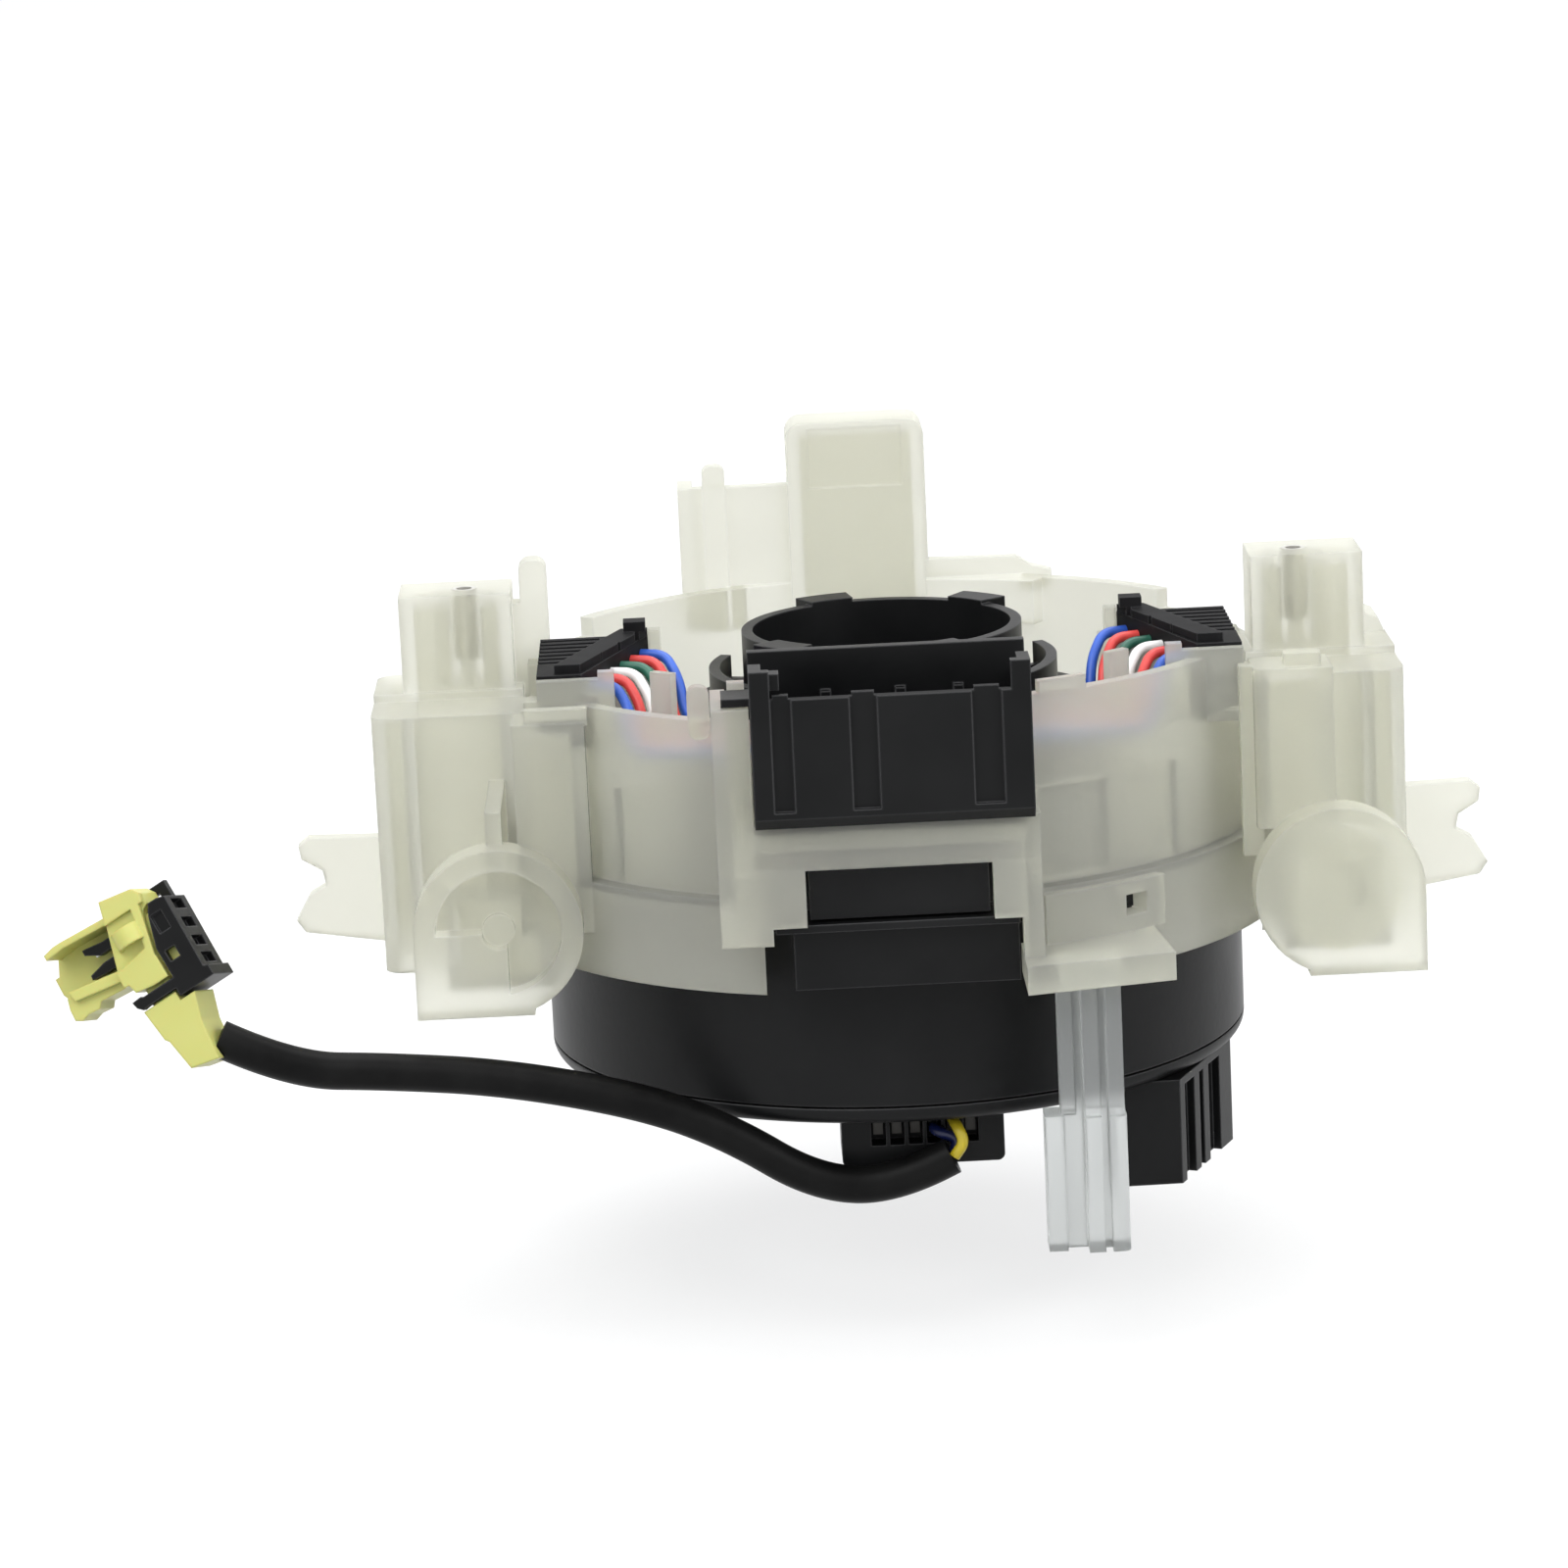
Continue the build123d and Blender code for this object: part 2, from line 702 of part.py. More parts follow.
# Carrier: the milky moulding that holds the switches, clipped over the drum
with BuildPart() as carrier:
    with BuildSketch(Plane.XY.offset(roof_z)):
        Circle(ring_r)
        Circle(ring_inner, mode=Mode.SUBTRACT)
    extrude(amount=ring_top - roof_z)
    with BuildSketch(Plane.XY.offset(ring_top)):
        add(ring_sector(ring_r, ring_inner, raise_start, raise_span))
    extrude(amount=ring_raise)
    with BuildSketch(Plane.XY.offset(skirt_bottom)):
        Circle(skirt_r)
        Circle(skirt_r - skirt_wall, mode=Mode.SUBTRACT)
    extrude(amount=roof_z - skirt_bottom)
    with BuildSketch(Plane.XY.offset(roof_z)):
        Circle(skirt_r)
        Circle(ring_inner, mode=Mode.SUBTRACT)
    extrude(amount=shoulder)
    # gap of the skirt under the bracket, and the seat of the harness socket
    with BuildSketch(Plane.XY.offset(skirt_bottom)):
        span(skirt_gap_left, step_right + run_gap, box_front, box_back + box_wing)
    extrude(amount=opening_top - skirt_bottom, mode=Mode.SUBTRACT)
    with BuildSketch(Plane.XY.offset(box_floor_z)):
        span(box_left - fit_gap, box_right + fit_gap, box_front, seat_back)
    extrude(amount=tab_top - box_floor_z, mode=Mode.SUBTRACT)
    # open sides where the stalk switches plug in
    for start in (mouth_start, 180.0 - mouth_start - mouth_span):
        with BuildSketch(Plane.XY.offset(mouth_z)):
            add(ring_sector(ring_r + carrier_wall, ring_inner - carrier_wall, start, mouth_span))
        extrude(amount=ring_top + ring_raise - mouth_z, mode=Mode.SUBTRACT)
    # bracket plate with its stepped opening
    with BuildSketch(Plane.XZ.offset(-bracket_inner)):
        with BuildLine():
            Polyline(
                (bracket_left, post_bottom),
                (step_left, post_bottom),
                (step_left, opening_step_z),
                (opening_left, opening_step_z),
                (opening_left, opening_top),
                (opening_right, opening_top),
                (opening_right, opening_step_z),
                (step_right, opening_step_z),
                (step_right, shelf_low),
                (bracket_right, shelf_low),
                (bracket_right, box_floor_z),
                (box_left - fit_gap, box_floor_z),
                (box_left - fit_gap, post_top),
                (bracket_left, post_top),
                close=True,
            )
        make_face()
    extrude(amount=bracket_thick)
    # cheeks and sills that tie the bracket plate to the ring wall
    with BuildSketch(Plane.XY.offset(post_bottom + cheek_lift)):
        span(bracket_left, bracket_left + cheek_wall, bracket_front, -drum_r + cheek_back_in)
    extrude(amount=post_top - post_bottom - cheek_lift)
    with BuildSketch(Plane.XY.offset(opening_top)):
        span(box_left - fit_gap, bracket_right, bracket_front, box_back - seat_thick)
    extrude(amount=sill_high)
    with BuildSketch(Plane.XY.offset(box_floor_z - seat_thick)):
        span(box_left - fit_gap, bracket_right, bracket_front, box_back)
    extrude(amount=seat_thick)
    with BuildSketch(Plane.XY.offset(shelf_top)):
        span(bracket_right - cheek_wall, bracket_right, bracket_front, box_back - sill_high)
    extrude(amount=box_floor_z - shelf_top)
    # tab behind the catch of the socket
    with BuildSketch(Plane.XY.offset(box_floor_z - seat_thick)):
        span(tab_left, tab_right, bracket_front + tab_front, bracket_front + tab_front + tab_thick)
        span(bracket_left, tab_right, bracket_front + tab_front, bracket_front + tab_front + tab_thick)
    extrude(amount=post_top - sill_high - box_floor_z)
    with BuildSketch(Plane.XY.offset(box_floor_z)):
        span(tab_left, tab_right, bracket_front + tab_front, bracket_front + tab_front + tab_thick)
    extrude(amount=tab_top - box_floor_z)
    # shelf that guides the transport lock pin
    with BuildSketch(Plane.XY.offset(shelf_low)):
        add(outline([(step_right + across, bracket_front + back) for across, back in shelf_far]))
        Circle(skirt_r - skirt_wall, mode=Mode.SUBTRACT)
    extrude(amount=shelf_thick)
    # thicker band with the snap window, and the rib panel inside the wall
    with BuildSketch(Plane.XY.offset(shelf_top)):
        add(ring_sector(skirt_r + band_out, skirt_r - skirt_wall, band_start, band_span))
    extrude(amount=band_top - shelf_top)
    with BuildSketch(Plane.XY.offset(window_z - nose_slack)):
        with PolarLocations(skirt_r, 1, start_angle=window_angle):
            Rectangle(2 * (skirt_wall + band_out), window_w)
    extrude(amount=window_h, mode=Mode.SUBTRACT)
    with BuildSketch(Plane.XY.offset(roof_z + shoulder)):
        add(ring_sector(ring_inner + fit_gap, ring_inner - inner_rib_thick, brow_start, inner_rib_span))
    extrude(amount=inner_rib_high)
    with BuildSketch(Plane.XY.offset(ring_top + ring_raise)):
        add(ring_sector(ring_r, ring_r - brow_thick, brow_start, brow_span))
    extrude(amount=brow_high)
    # finger beside the bracket
    with BuildSketch(Plane.XZ.offset(drum_r - finger_in)):
        with Locations((finger_x, (ring_top + finger_top) / 2 - 1)):
            RectangleRounded(finger_w, finger_top - ring_top + 2, finger_round)
    extrude(amount=finger_thick)

    for side in (-1, 1):
        # side body, a hollow box open underneath
        with BuildSketch(Plane.XY.offset(side_bottom)):
            span(side * (tower_in - side_lap), side * side_out, side_front, side_back)
        side_box = extrude(amount=side_top - side_bottom)
        fillet(side_box.edges().filter_by(Axis.Z).group_by(Axis.X)[0 if side < 0 else -1], side_round)
        # tower above it, closed on top
        with BuildSketch(Plane.XY.offset(side_bottom)):
            span(side * tower_in, side * tower_out, -tower_half, tower_half)
        extrude(amount=tower_top - side_bottom)
        with BuildSketch(Plane.XY.offset(side_bottom)):
            span(
                side * (tower_in + tower_wall),
                side * (side_out - tower_wall),
                side_front + tower_wall,
                side_back - tower_wall,
            )
        extrude(amount=side_top - tower_wall - side_bottom, mode=Mode.SUBTRACT)
        with BuildSketch(Plane.XY.offset(side_top - 2 * tower_wall)):
            span(
                side * (tower_in + tower_wall),
                side * (tower_out - tower_wall),
                -tower_half + tower_wall,
                tower_half - tower_wall,
            )
        extrude(amount=tower_top - side_top + tower_wall, mode=Mode.SUBTRACT)
        # screw boss with the bore for the threaded insert
        with BuildSketch(Plane.XY.offset(insert_low - insert_seat)):
            with Locations((side * insert_x, 0)):
                Circle(insert_boss)
        extrude(amount=insert_len + insert_seat)
        with BuildSketch(Plane.XY.offset(insert_low)):
            with Locations((side * insert_x, 0)):
                Circle(insert_r + insert_gap)
        extrude(amount=insert_len, mode=Mode.SUBTRACT)
        with BuildSketch(Plane.XY.offset(insert_low - insert_seat)):
            with Locations((side * insert_x, 0)):
                Circle(insert_bore)
        extrude(amount=insert_seat, mode=Mode.SUBTRACT)
        # web that carries the tower inside the side body
        with BuildSketch(Plane.XY.offset(side_bottom)):
            span(
                side * tower_out,
                side * (tower_out - side_web),
                side_front + side_lap,
                side_back - side_lap,
            )
        extrude(amount=side_top - side_bottom)
        # fork with its notched end
        with BuildSketch(Plane.XZ.offset(-fork_thick / 2)):
            add(outline([(side * (side_out + away), level) for away, level in fork_plan]))
        extrude(amount=fork_thick)
    # rounded shoulder outside the right tower
    with BuildSketch(Plane.XZ.offset(shoulder_from)):
        add(outline([(tower_out + away, level) for away, level in shoulder_plan]))
    extrude(amount=-shoulder_wide)

    for side, pad_x in ((-1, -tower_in - pad_left_off), (1, tower_in + pad_right_off)):
        # arm and round pad with one square corner
        with BuildSketch(Plane.XZ.offset(-side_front)):
            with Locations((pad_x, pad_z - arm_drop)):
                Rectangle(arm_side, arm_side)
                Rectangle(arm_hole, arm_hole, mode=Mode.SUBTRACT)
        extrude(amount=side_front - pad_back)
        with BuildSketch(Plane.XZ.offset(-pad_back)):
            with Locations((pad_x, pad_z)):
                Circle(pad_r)
            span(pad_x, pad_x + side * pad_r, pad_z - pad_r, pad_z)
            span(pad_x - side * pad_foot, pad_x, pad_z - pad_r, pad_z - pad_r + pad_foot_high)
        extrude(amount=pad_thick)
        with BuildSketch(Plane.XZ.offset(-pad_back + (pad_floor if side < 0 else 0))):
            with Locations((pad_x, pad_z)):
                Circle(pad_r - pad_rim)
                if side > 0:
                    Circle(pad_hub_r + right_ring, mode=Mode.SUBTRACT)
                else:
                    Circle(pad_hub_r, mode=Mode.SUBTRACT)
            if side < 0:
                with Locations((pad_x, pad_z - pad_r / 2)):
                    Rectangle(pad_band, pad_r, mode=Mode.SUBTRACT)
                with Locations((pad_x - pad_r / 2, pad_z - pad_r / 2)):
                    Rectangle(pad_r, pad_r, mode=Mode.SUBTRACT)
        extrude(amount=pad_thick - pad_floor, mode=Mode.SUBTRACT)
        if side < 0:
            with BuildSketch(Plane.XZ.offset(-pad_front)):
                with Locations((pad_x, pad_z)):
                    Circle(pad_hub_r)
            extrude(amount=-pad_floor, mode=Mode.SUBTRACT)
            # rib above the left pad
            with BuildSketch(Plane.XZ.offset(-pad_back)):
                span(
                    pad_x - rib_thick / 2,
                    pad_x + rib_thick / 2,
                    pad_z + pad_r - rib_thick / 2,
                    pad_z + pad_r + rib_rise,
                )
            extrude(amount=rib_front)
            with BuildSketch(Plane.XZ.offset(-side_front)):
                span(
                    pad_x - rib_thick / 2,
                    pad_x + rib_thick / 2,
                    pad_z + pad_foot_high,
                    pad_z + pad_r + rib_rise,
                )
            extrude(amount=side_front - pad_back)

    # front posts at both ends of the front wall, hollow from below, with webs back to the side body
    for side, place in ((-1, left_post), (1, right_post)):
        x0 = side * (tower_in + place[0])
        x1 = side * (tower_in + place[1])
        low, high = place[2:]
        with BuildSketch(Plane.XY.offset(low)):
            span(x0, x1, post_front, post_back)
        post = extrude(amount=high - low)
        fillet(post.edges().filter_by(Axis.Z), post_round)
        with BuildSketch(Plane.XY.offset(low)):
            span(
                min(x0, x1) + post_wall,
                max(x0, x1) - post_wall,
                post_front + post_wall,
                post_back - post_wall,
            )
        extrude(amount=high - low - post_wall, mode=Mode.SUBTRACT)
        outer_x = min(x0, x1) if side < 0 else max(x0, x1)
        with BuildSketch(Plane.XY.offset(low)):
            span(
                outer_x - side * post_lap,
                outer_x - side * (post_lap + post_wall),
                post_back - post_lap,
                side_front + post_lap,
            )
        extrude(amount=post_web_top - low)
        cap = cap_left if side < 0 else cap_right
        with BuildSketch(Plane.XY.offset(high - cap_sink)):
            span(
                side * (tower_in + cap[0]),
                side * (tower_in + cap[1]),
                post_front + cap[2],
                post_front + cap[3],
            )
        extrude(amount=cap_lift + cap_sink)
    with BuildSketch(Plane.XY.offset(roof_z)):
        span(tower_in - link_left - right_post[0], tower_in - link_right, link_front, link_back)
    extrude(amount=right_post[3] - roof_z)

    # rear tower, its side wall with the peg, and the raised plate
    with BuildSketch(Plane.XZ.offset(-rear_y - rear_depth / 2)):
        span(rear_left, rear_right, roof_z, rear_top)
    tower = extrude(amount=rear_depth)
    fillet(tower.edges().filter_by(Axis.Y).group_by(Axis.Z)[-1], rear_round)
    with BuildSketch(Plane.XY.offset(roof_z)):
        span(
            rear_left + tower_wall,
            rear_right - tower_wall,
            rear_y - rear_depth / 2 + tower_wall,
            rear_y + rear_depth / 2 - tower_wall,
        )
    extrude(amount=rear_top - roof_z - rear_roof, mode=Mode.SUBTRACT)
    with BuildSketch(Plane.XZ.offset(-rear_y + rear_depth / 2 - rear_panel_deep)):
        span(rear_left + rear_panel[0], rear_right - rear_panel[1], rear_panel[2], rear_top - rear_panel[3])
    extrude(amount=rear_panel_deep, mode=Mode.SUBTRACT)
    with BuildSketch(Plane.XY.offset(ring_top - rear_root)):
        span(
            rear_wall_left,
            rear_left + fit_gap,
            rear_wall_y - rear_wall_half,
            rear_wall_y + rear_wall_half,
        )
        span(
            rear_wall_left,
            rear_wall_left + 2 * rear_wall_half,
            rear_wall_y - rear_wall_half,
            rear_wall_y + rear_return,
        )
        span(
            rear_wall_left + rear_peg_in,
            rear_wall_left + rear_peg_in + rear_peg_w,
            rear_wall_y - rear_peg_w / 2 - rear_wall_half / 2,
            rear_wall_y,
        )
    extrude(amount=rear_wall_top - ring_top + rear_root)
    with BuildSketch(Plane.XZ.offset(-rear_wall_y)):
        with Locations((rear_wall_left + rear_peg_in + rear_peg_w / 2, rear_wall_top)):
            RectangleRounded(rear_peg_w, rear_peg_high, finger_round)
    extrude(amount=rear_peg_w / 2 + rear_wall_half / 2)
    with BuildSketch(Plane.XZ.offset(-drum_r - rear_plate_off)):
        add(outline([(rear_right + across, ring_top + level) for across, level in rear_plate]))
    extrude(amount=2 * rear_wall_half)
    with BuildSketch(Plane.XY.offset(ring_top - rear_root)):
        add(ring_sector(ring_r, ring_r - rear_lug_deep, rear_lug_start, rear_lug_span))
    extrude(amount=rear_root)

    # tall peg beside the left tower
    with BuildSketch(Plane.XZ.offset(left_peg_thick / 2)):
        with Locations((left_peg_in - tower_in, (side_top + left_peg_top - peg_root) / 2)):
            RectangleRounded(left_peg_w, left_peg_top - side_top + peg_root, left_peg_round)
    extrude(amount=-left_peg_thick)
    with BuildSketch(Plane.XZ.offset(left_peg_thick / 2)):
        span(-tower_in - cap_sink, peg_web_w - tower_in - cap_sink, side_top - 2, tower_top - 2)
    extrude(amount=-left_peg_thick)

    # trays for the side connectors, with their corner posts and the posts that guide the wires
    for side in (-1, 1):
        with BuildSketch(Plane.XY.offset(conn_bottom - tray_floor)):
            add(conn_plan(side))
            offset(amount=tray_wall + fit_gap, kind=Kind.INTERSECTION)
        extrude(amount=tray_top - conn_bottom + tray_floor)
        wall_y = conn_front - fit_gap - tray_wall
        with BuildSketch(Plane.XY.offset(conn_bottom)):
            span(side * conn_face, side * (conn_face - pocket_long), wall_y, wall_y + tray_wall)
        extrude(amount=pocket_top - conn_bottom)
        with BuildSketch(Plane.XY.offset(conn_bottom)):
            span(
                side * (conn_face - pocket_long),
                side * (conn_face - pocket_long - corner_post),
                wall_y,
                wall_y + tray_wall,
            )
            span(
                side * conn_near[0],
                side * (conn_near[0] - tray_wall),
                conn_back - fit_gap / 2,
                conn_back + corner_back,
            )
        extrude(amount=corner_top - conn_bottom)
        with BuildSketch(Plane.XY.offset(conn_bottom)):
            add(conn_plan(side))
            offset(amount=fit_gap, kind=Kind.INTERSECTION)
        extrude(amount=tray_mouth_high, mode=Mode.SUBTRACT)
        with BuildSketch(Plane.XY.offset(conn_bottom + tray_sill)):
            span(
                side * (conn_face - tray_wall),
                side * (side_out + tray_wall),
                conn_front + conn_wall,
                -tower_half - 2 * run_gap,
            )
        extrude(amount=tray_mouth_high, mode=Mode.SUBTRACT)
        guide_x = conn_near[0] + guide_at[0]
        with BuildSketch(Plane.XY.offset(guide_low)):
            with Locations(Location((side * guide_x, guide_at[1], 0), (0, 0, side * guide_turn))):
                Rectangle(guide_long, guide_thick)
        extrude(amount=guide_top - guide_low)
        guide_angle = atan2(guide_at[1], guide_x)
        guide_reach = (guide_x**2 + guide_at[1] ** 2) ** 0.5
        web_mid = (guide_reach + ring_inner + cap_sink) / 2
        web_place = (side * web_mid * cos(guide_angle), web_mid * sin(guide_angle), 0)
        with BuildSketch(Plane.XY.offset(guide_low)):
            with Locations(Location(web_place, (0, 0, side * degrees(guide_angle)))):
                Rectangle(ring_inner + cap_sink - guide_reach, guide_thick)
        extrude(amount=guide_web_top - guide_low)
    # pocket in the shelf for the neck of the lock pin
    with BuildSketch(Plane.XY.offset(shelf_low)):
        span(
            pin_neck[0][0] - fit_gap,
            pin_neck[2][1] + fit_gap,
            bracket_front + pin_neck[2][2] - fit_gap,
            bracket_front + pin_neck[2][3] + fit_gap,
        )
    extrude(amount=pin_depth, mode=Mode.SUBTRACT)
    # free run for the drum flange
    with BuildSketch(Plane.XY.offset(side_bottom)):
        Circle(flange_r + run_gap)
    extrude(amount=roof_z - side_bottom, mode=Mode.SUBTRACT)
carrier.part.label = "carrier"

# Harness socket: open black shroud in the bracket
with BuildPart() as harness_socket:
    with BuildSketch(Plane.XY.offset(box_floor_z)):
        span(box_left, box_right, box_front, box_back)
    shell = extrude(amount=box_front_top - box_floor_z)
    chamfer(shell.edges().filter_by(Axis.X).group_by(Axis.Y)[0].group_by(Axis.Z)[0], box_edge)
    with BuildSketch(Plane.XY.offset(box_front_top)):
        span(box_left, box_right, box_back - box_wall, box_back)
        span(box_left, box_left + box_post, box_front, box_front + box_wall)
        span(box_right - box_post, box_right, box_front, box_front + box_wall)
        span(box_left, box_left + box_wall, box_front, box_front + box_wing)
        span(box_right - box_wall, box_right, box_front, box_front + box_wing)
    extrude(amount=box_top - box_front_top)
    # catch that rests on the bracket
    with BuildSketch(Plane.XY.offset(catch_z)):
        span(
            catch_left,
            box_left + box_wall,
            bracket_front + catch_front,
            bracket_front + catch_front + catch_deep,
        )
    extrude(amount=catch_high)
    with BuildSketch(Plane.XY.offset(box_floor_z + box_wall)):
        span(box_left + box_wall, box_right - box_wall, box_front + box_wall, box_back - box_wall)
    extrude(amount=box_top, mode=Mode.SUBTRACT)
    # keying ribs inside, grooves in the front wall and the small crests above them
    with BuildSketch(Plane.XY.offset(box_floor_z + box_wall)):
        for rib_x in key_ribs:
            span(rib_x, rib_x + key_wide, box_back - box_wall - key_deep, box_back - box_wall)
    extrude(amount=box_front_top - box_floor_z - key_short)
    with BuildSketch(Plane.XY.offset(groove_low)):
        for x0, x1 in grooves:
            span(x0, x1, box_front, box_front + groove_deep)
    extrude(amount=box_front_top - groove_low, mode=Mode.SUBTRACT)
    with BuildSketch(Plane.XY.offset(box_front_top)):
        for x0, x1 in grooves:
            span(x0 + run_gap, x1 - run_gap, box_front + groove_deep, box_front + box_wall)
    extrude(amount=crest_high)
    # latch lug on the left post
    with BuildSketch(Plane.XY.offset(box_top - lug_drop)):
        span(
            box_left + box_wall / 2,
            box_left + lug_wide,
            box_front + box_wall,
            box_front + box_wall + lug_deep,
        )
    extrude(amount=lug_high)
    with BuildSketch(Plane.XY.offset(box_floor_z)):
        with Locations(pins_at):
            with GridLocations(pin_pitch, pin_row_gap, pin_columns, pin_rows):
                Rectangle(pin_w, pin_w)
    extrude(amount=box_wall, mode=Mode.SUBTRACT)
harness_socket.part.label = "harness_socket"

# Contact pins of the harness socket
with BuildPart() as harness_pins:
    with BuildSketch(Plane.XY.offset(box_floor_z)):
        with Locations(pins_at):
            with GridLocations(pin_pitch, pin_row_gap, pin_columns, pin_rows):
                Rectangle(pin_w, pin_w)
    extrude(amount=pin_high)
harness_pins.part.label = "harness_pins"

# Transport lock pin of clear plastic, pushed up into the shelf
with BuildPart() as lock_pin:
    with BuildSketch(Plane.XY.offset(pin_step_z)):
        for x0, x1, y0, y1 in pin_neck:
            span(x0, x1, bracket_front + y0, bracket_front + y1)
    neck = extrude(amount=shelf_low + pin_depth - run_gap - pin_step_z)
    with BuildSketch(Plane.XY.offset(pin_bottom)):
        for x0, x1, y0, y1 in pin_body:
            span(x0, x1, bracket_front + y0, bracket_front + y1)
    pin_block = extrude(amount=pin_step_z - pin_bottom)
    fillet(pin_block.edges().filter_by(Axis.Z).group_by(Axis.X)[-1], pin_round)
    with BuildSketch(Plane.XY.offset(pin_bottom)):
        groove_x = (pin_neck[2][0] + pin_neck[2][1]) / 2
        span(
            groove_x - pin_slot_wide / 2,
            groove_x + pin_slot_wide / 2,
            bracket_front + pin_body[2][2],
            bracket_front + pin_neck[2][2] + pin_slot_wide,
        )
    extrude(amount=shelf_low + pin_depth - pin_bottom, mode=Mode.SUBTRACT)
lock_pin.part.label = "lock_pin"

# Side connectors, a mirrored pair with retainers and pins
switch_sockets = {}
switch_retainers = {}
switch_terminals = {}
for side, hand in ((-1, "left"), (1, "right")):
    with BuildPart() as socket:
        with BuildSketch(Plane.XY.offset(conn_bottom)):
            add(conn_plan(side))
        extrude(amount=conn_top - conn_bottom)
        with BuildSketch(Plane.XY.offset(conn_bottom + conn_wall)):
            span(
                side * (conn_face - conn_depth),
                side * conn_face,
                conn_front + conn_wall,
                conn_back - conn_wall,
            )
        extrude(amount=conn_top - conn_bottom - 2 * conn_wall, mode=Mode.SUBTRACT)
        with BuildSketch(Plane.XY.offset(conn_top - comb_depth)):
            with Locations((side * (conn_face - comb_long / 2), comb_y)):
                with GridLocations(0, comb_pitch, 1, comb_slots):
                    Rectangle(comb_long, comb_slot_w)
        extrude(amount=comb_depth, mode=Mode.SUBTRACT)
    socket.part.label = hand + "_switch_socket"
    switch_sockets[hand] = socket.part
    with BuildPart() as retainer:
        with BuildSketch(Plane.XY.offset(conn_top)):
            add(
                outline(
                    (
                        (side * conn_near[0], conn_back - retainer_in),
                        (side * (conn_near[0] + retainer_w), conn_back - retainer_in),
                        (side * (conn_far[0] + retainer_w), conn_front + retainer_in),
                        (side * (conn_far[0] + fit_gap), conn_front + retainer_in),
                    )
                )
            )
            with Locations(*[(side * (conn_near[0] + away), hole_y) for away, hole_y in retainer_holes]):
                Rectangle(*retainer_hole, mode=Mode.SUBTRACT)
        extrude(amount=retainer_thick)
        with BuildSketch(Plane.XY.offset(conn_top + retainer_thick)):
            span(
                side * (conn_near[0] + retainer_grip[0]),
                side * (conn_near[0] + retainer_grip[1]),
                conn_back - retainer_in - retainer_grip[2],
                conn_back - retainer_in,
            )
        extrude(amount=retainer_grip[3])
    retainer.part.label = hand + "_terminal_retainer"
    switch_retainers[hand] = retainer.part
    with BuildPart() as terminals:
        with BuildSketch(Plane.YZ.offset(side * (conn_face - conn_depth))):
            with Locations((conn_middle_y, conn_bottom + conn_wall + conn_pin_lift)):
                with GridLocations(conn_pitch, 0, conn_ways, 1):
                    Rectangle(pin_w, pin_w)
        extrude(amount=side * conn_pin)
    terminals.part.label = hand + "_switch_terminals"
    switch_terminals[hand] = terminals.part

# Wires from the side connectors to the harness socket
switch_wires = {}
for side, hand in ((-1, "left"), (1, "right")):
    for row, colour in enumerate(wire_names):
        name = hand + "_wire_" + colour
        switch_wires[name] = tube(switch_wire(side, row), wire_d)
        switch_wires[name].label = name

# Threaded brass inserts of the towers
with BuildPart() as left_insert:
    with BuildSketch(Plane.XY.offset(insert_low)):
        with Locations((-insert_x, 0)):
            Circle(insert_r)
            Circle(insert_bore, mode=Mode.SUBTRACT)
    extrude(amount=insert_len)
left_insert.part.label = "left_insert"

with BuildPart() as right_insert:
    with BuildSketch(Plane.XY.offset(insert_low)):
        with Locations((insert_x, 0)):
            Circle(insert_r)
            Circle(insert_bore, mode=Mode.SUBTRACT)
    extrude(amount=insert_len)
right_insert.part.label = "right_insert"

# Slip sheets above and below the wound cable
with BuildPart() as upper_slip_sheet:
    with BuildSketch(Plane.XY.offset(roof_z - drum_wall - slip_thick)):
        Circle(drum_r - drum_wall - run_gap)
        Circle(turret_r - turret_wall + run_gap, mode=Mode.SUBTRACT)
    extrude(amount=slip_thick)
upper_slip_sheet.part.label = "upper_slip_sheet"

with BuildPart() as lower_slip_sheet:
    with BuildSketch(Plane.XY.offset(plate_top)):
        Circle(drum_r - drum_wall - run_gap)
        Circle(spigot_r + run_gap, mode=Mode.SUBTRACT)
    extrude(amount=slip_thick)
lower_slip_sheet.part.label = "lower_slip_sheet"

# Wound flat cable, hanging from the upper slip sheet
with BuildPart() as ribbon_cable:
    with BuildSketch(Plane.XY.offset(plate_top + slip_thick + run_gap)):
        with BuildLine():
            Spline(*spiral(0))
            Spline(*spiral(ribbon_thick))
            Line(spiral(0)[0], spiral(ribbon_thick)[0])
            Line(spiral(0)[-1], spiral(ribbon_thick)[-1])
        make_face()
    extrude(amount=roof_z - drum_wall - 2 * slip_thick - run_gap - plate_top)
ribbon_cable.part.label = "ribbon_cable"

# Rotor plate: the face that turns with the steering wheel
with BuildPart() as rotor_plate:
    with BuildSketch(Plane.XY.offset(plate_bottom)):
        Circle(drum_r)
        Circle(collar_bore, mode=Mode.SUBTRACT)
    plate = extrude(amount=plate_thick)
    bottom_rings = plate.edges().filter_by(GeomType.CIRCLE).group_by(Axis.Z)[0]
    fillet(bottom_rings.sort_by(SortBy.RADIUS)[-1], plate_edge)
    with BuildSketch(Plane.XY.offset(plate_top)):
        Circle(spigot_r)
        Circle(collar_r, mode=Mode.SUBTRACT)
    extrude(amount=spigot_high)
rotor_plate.part.label = "rotor_plate"

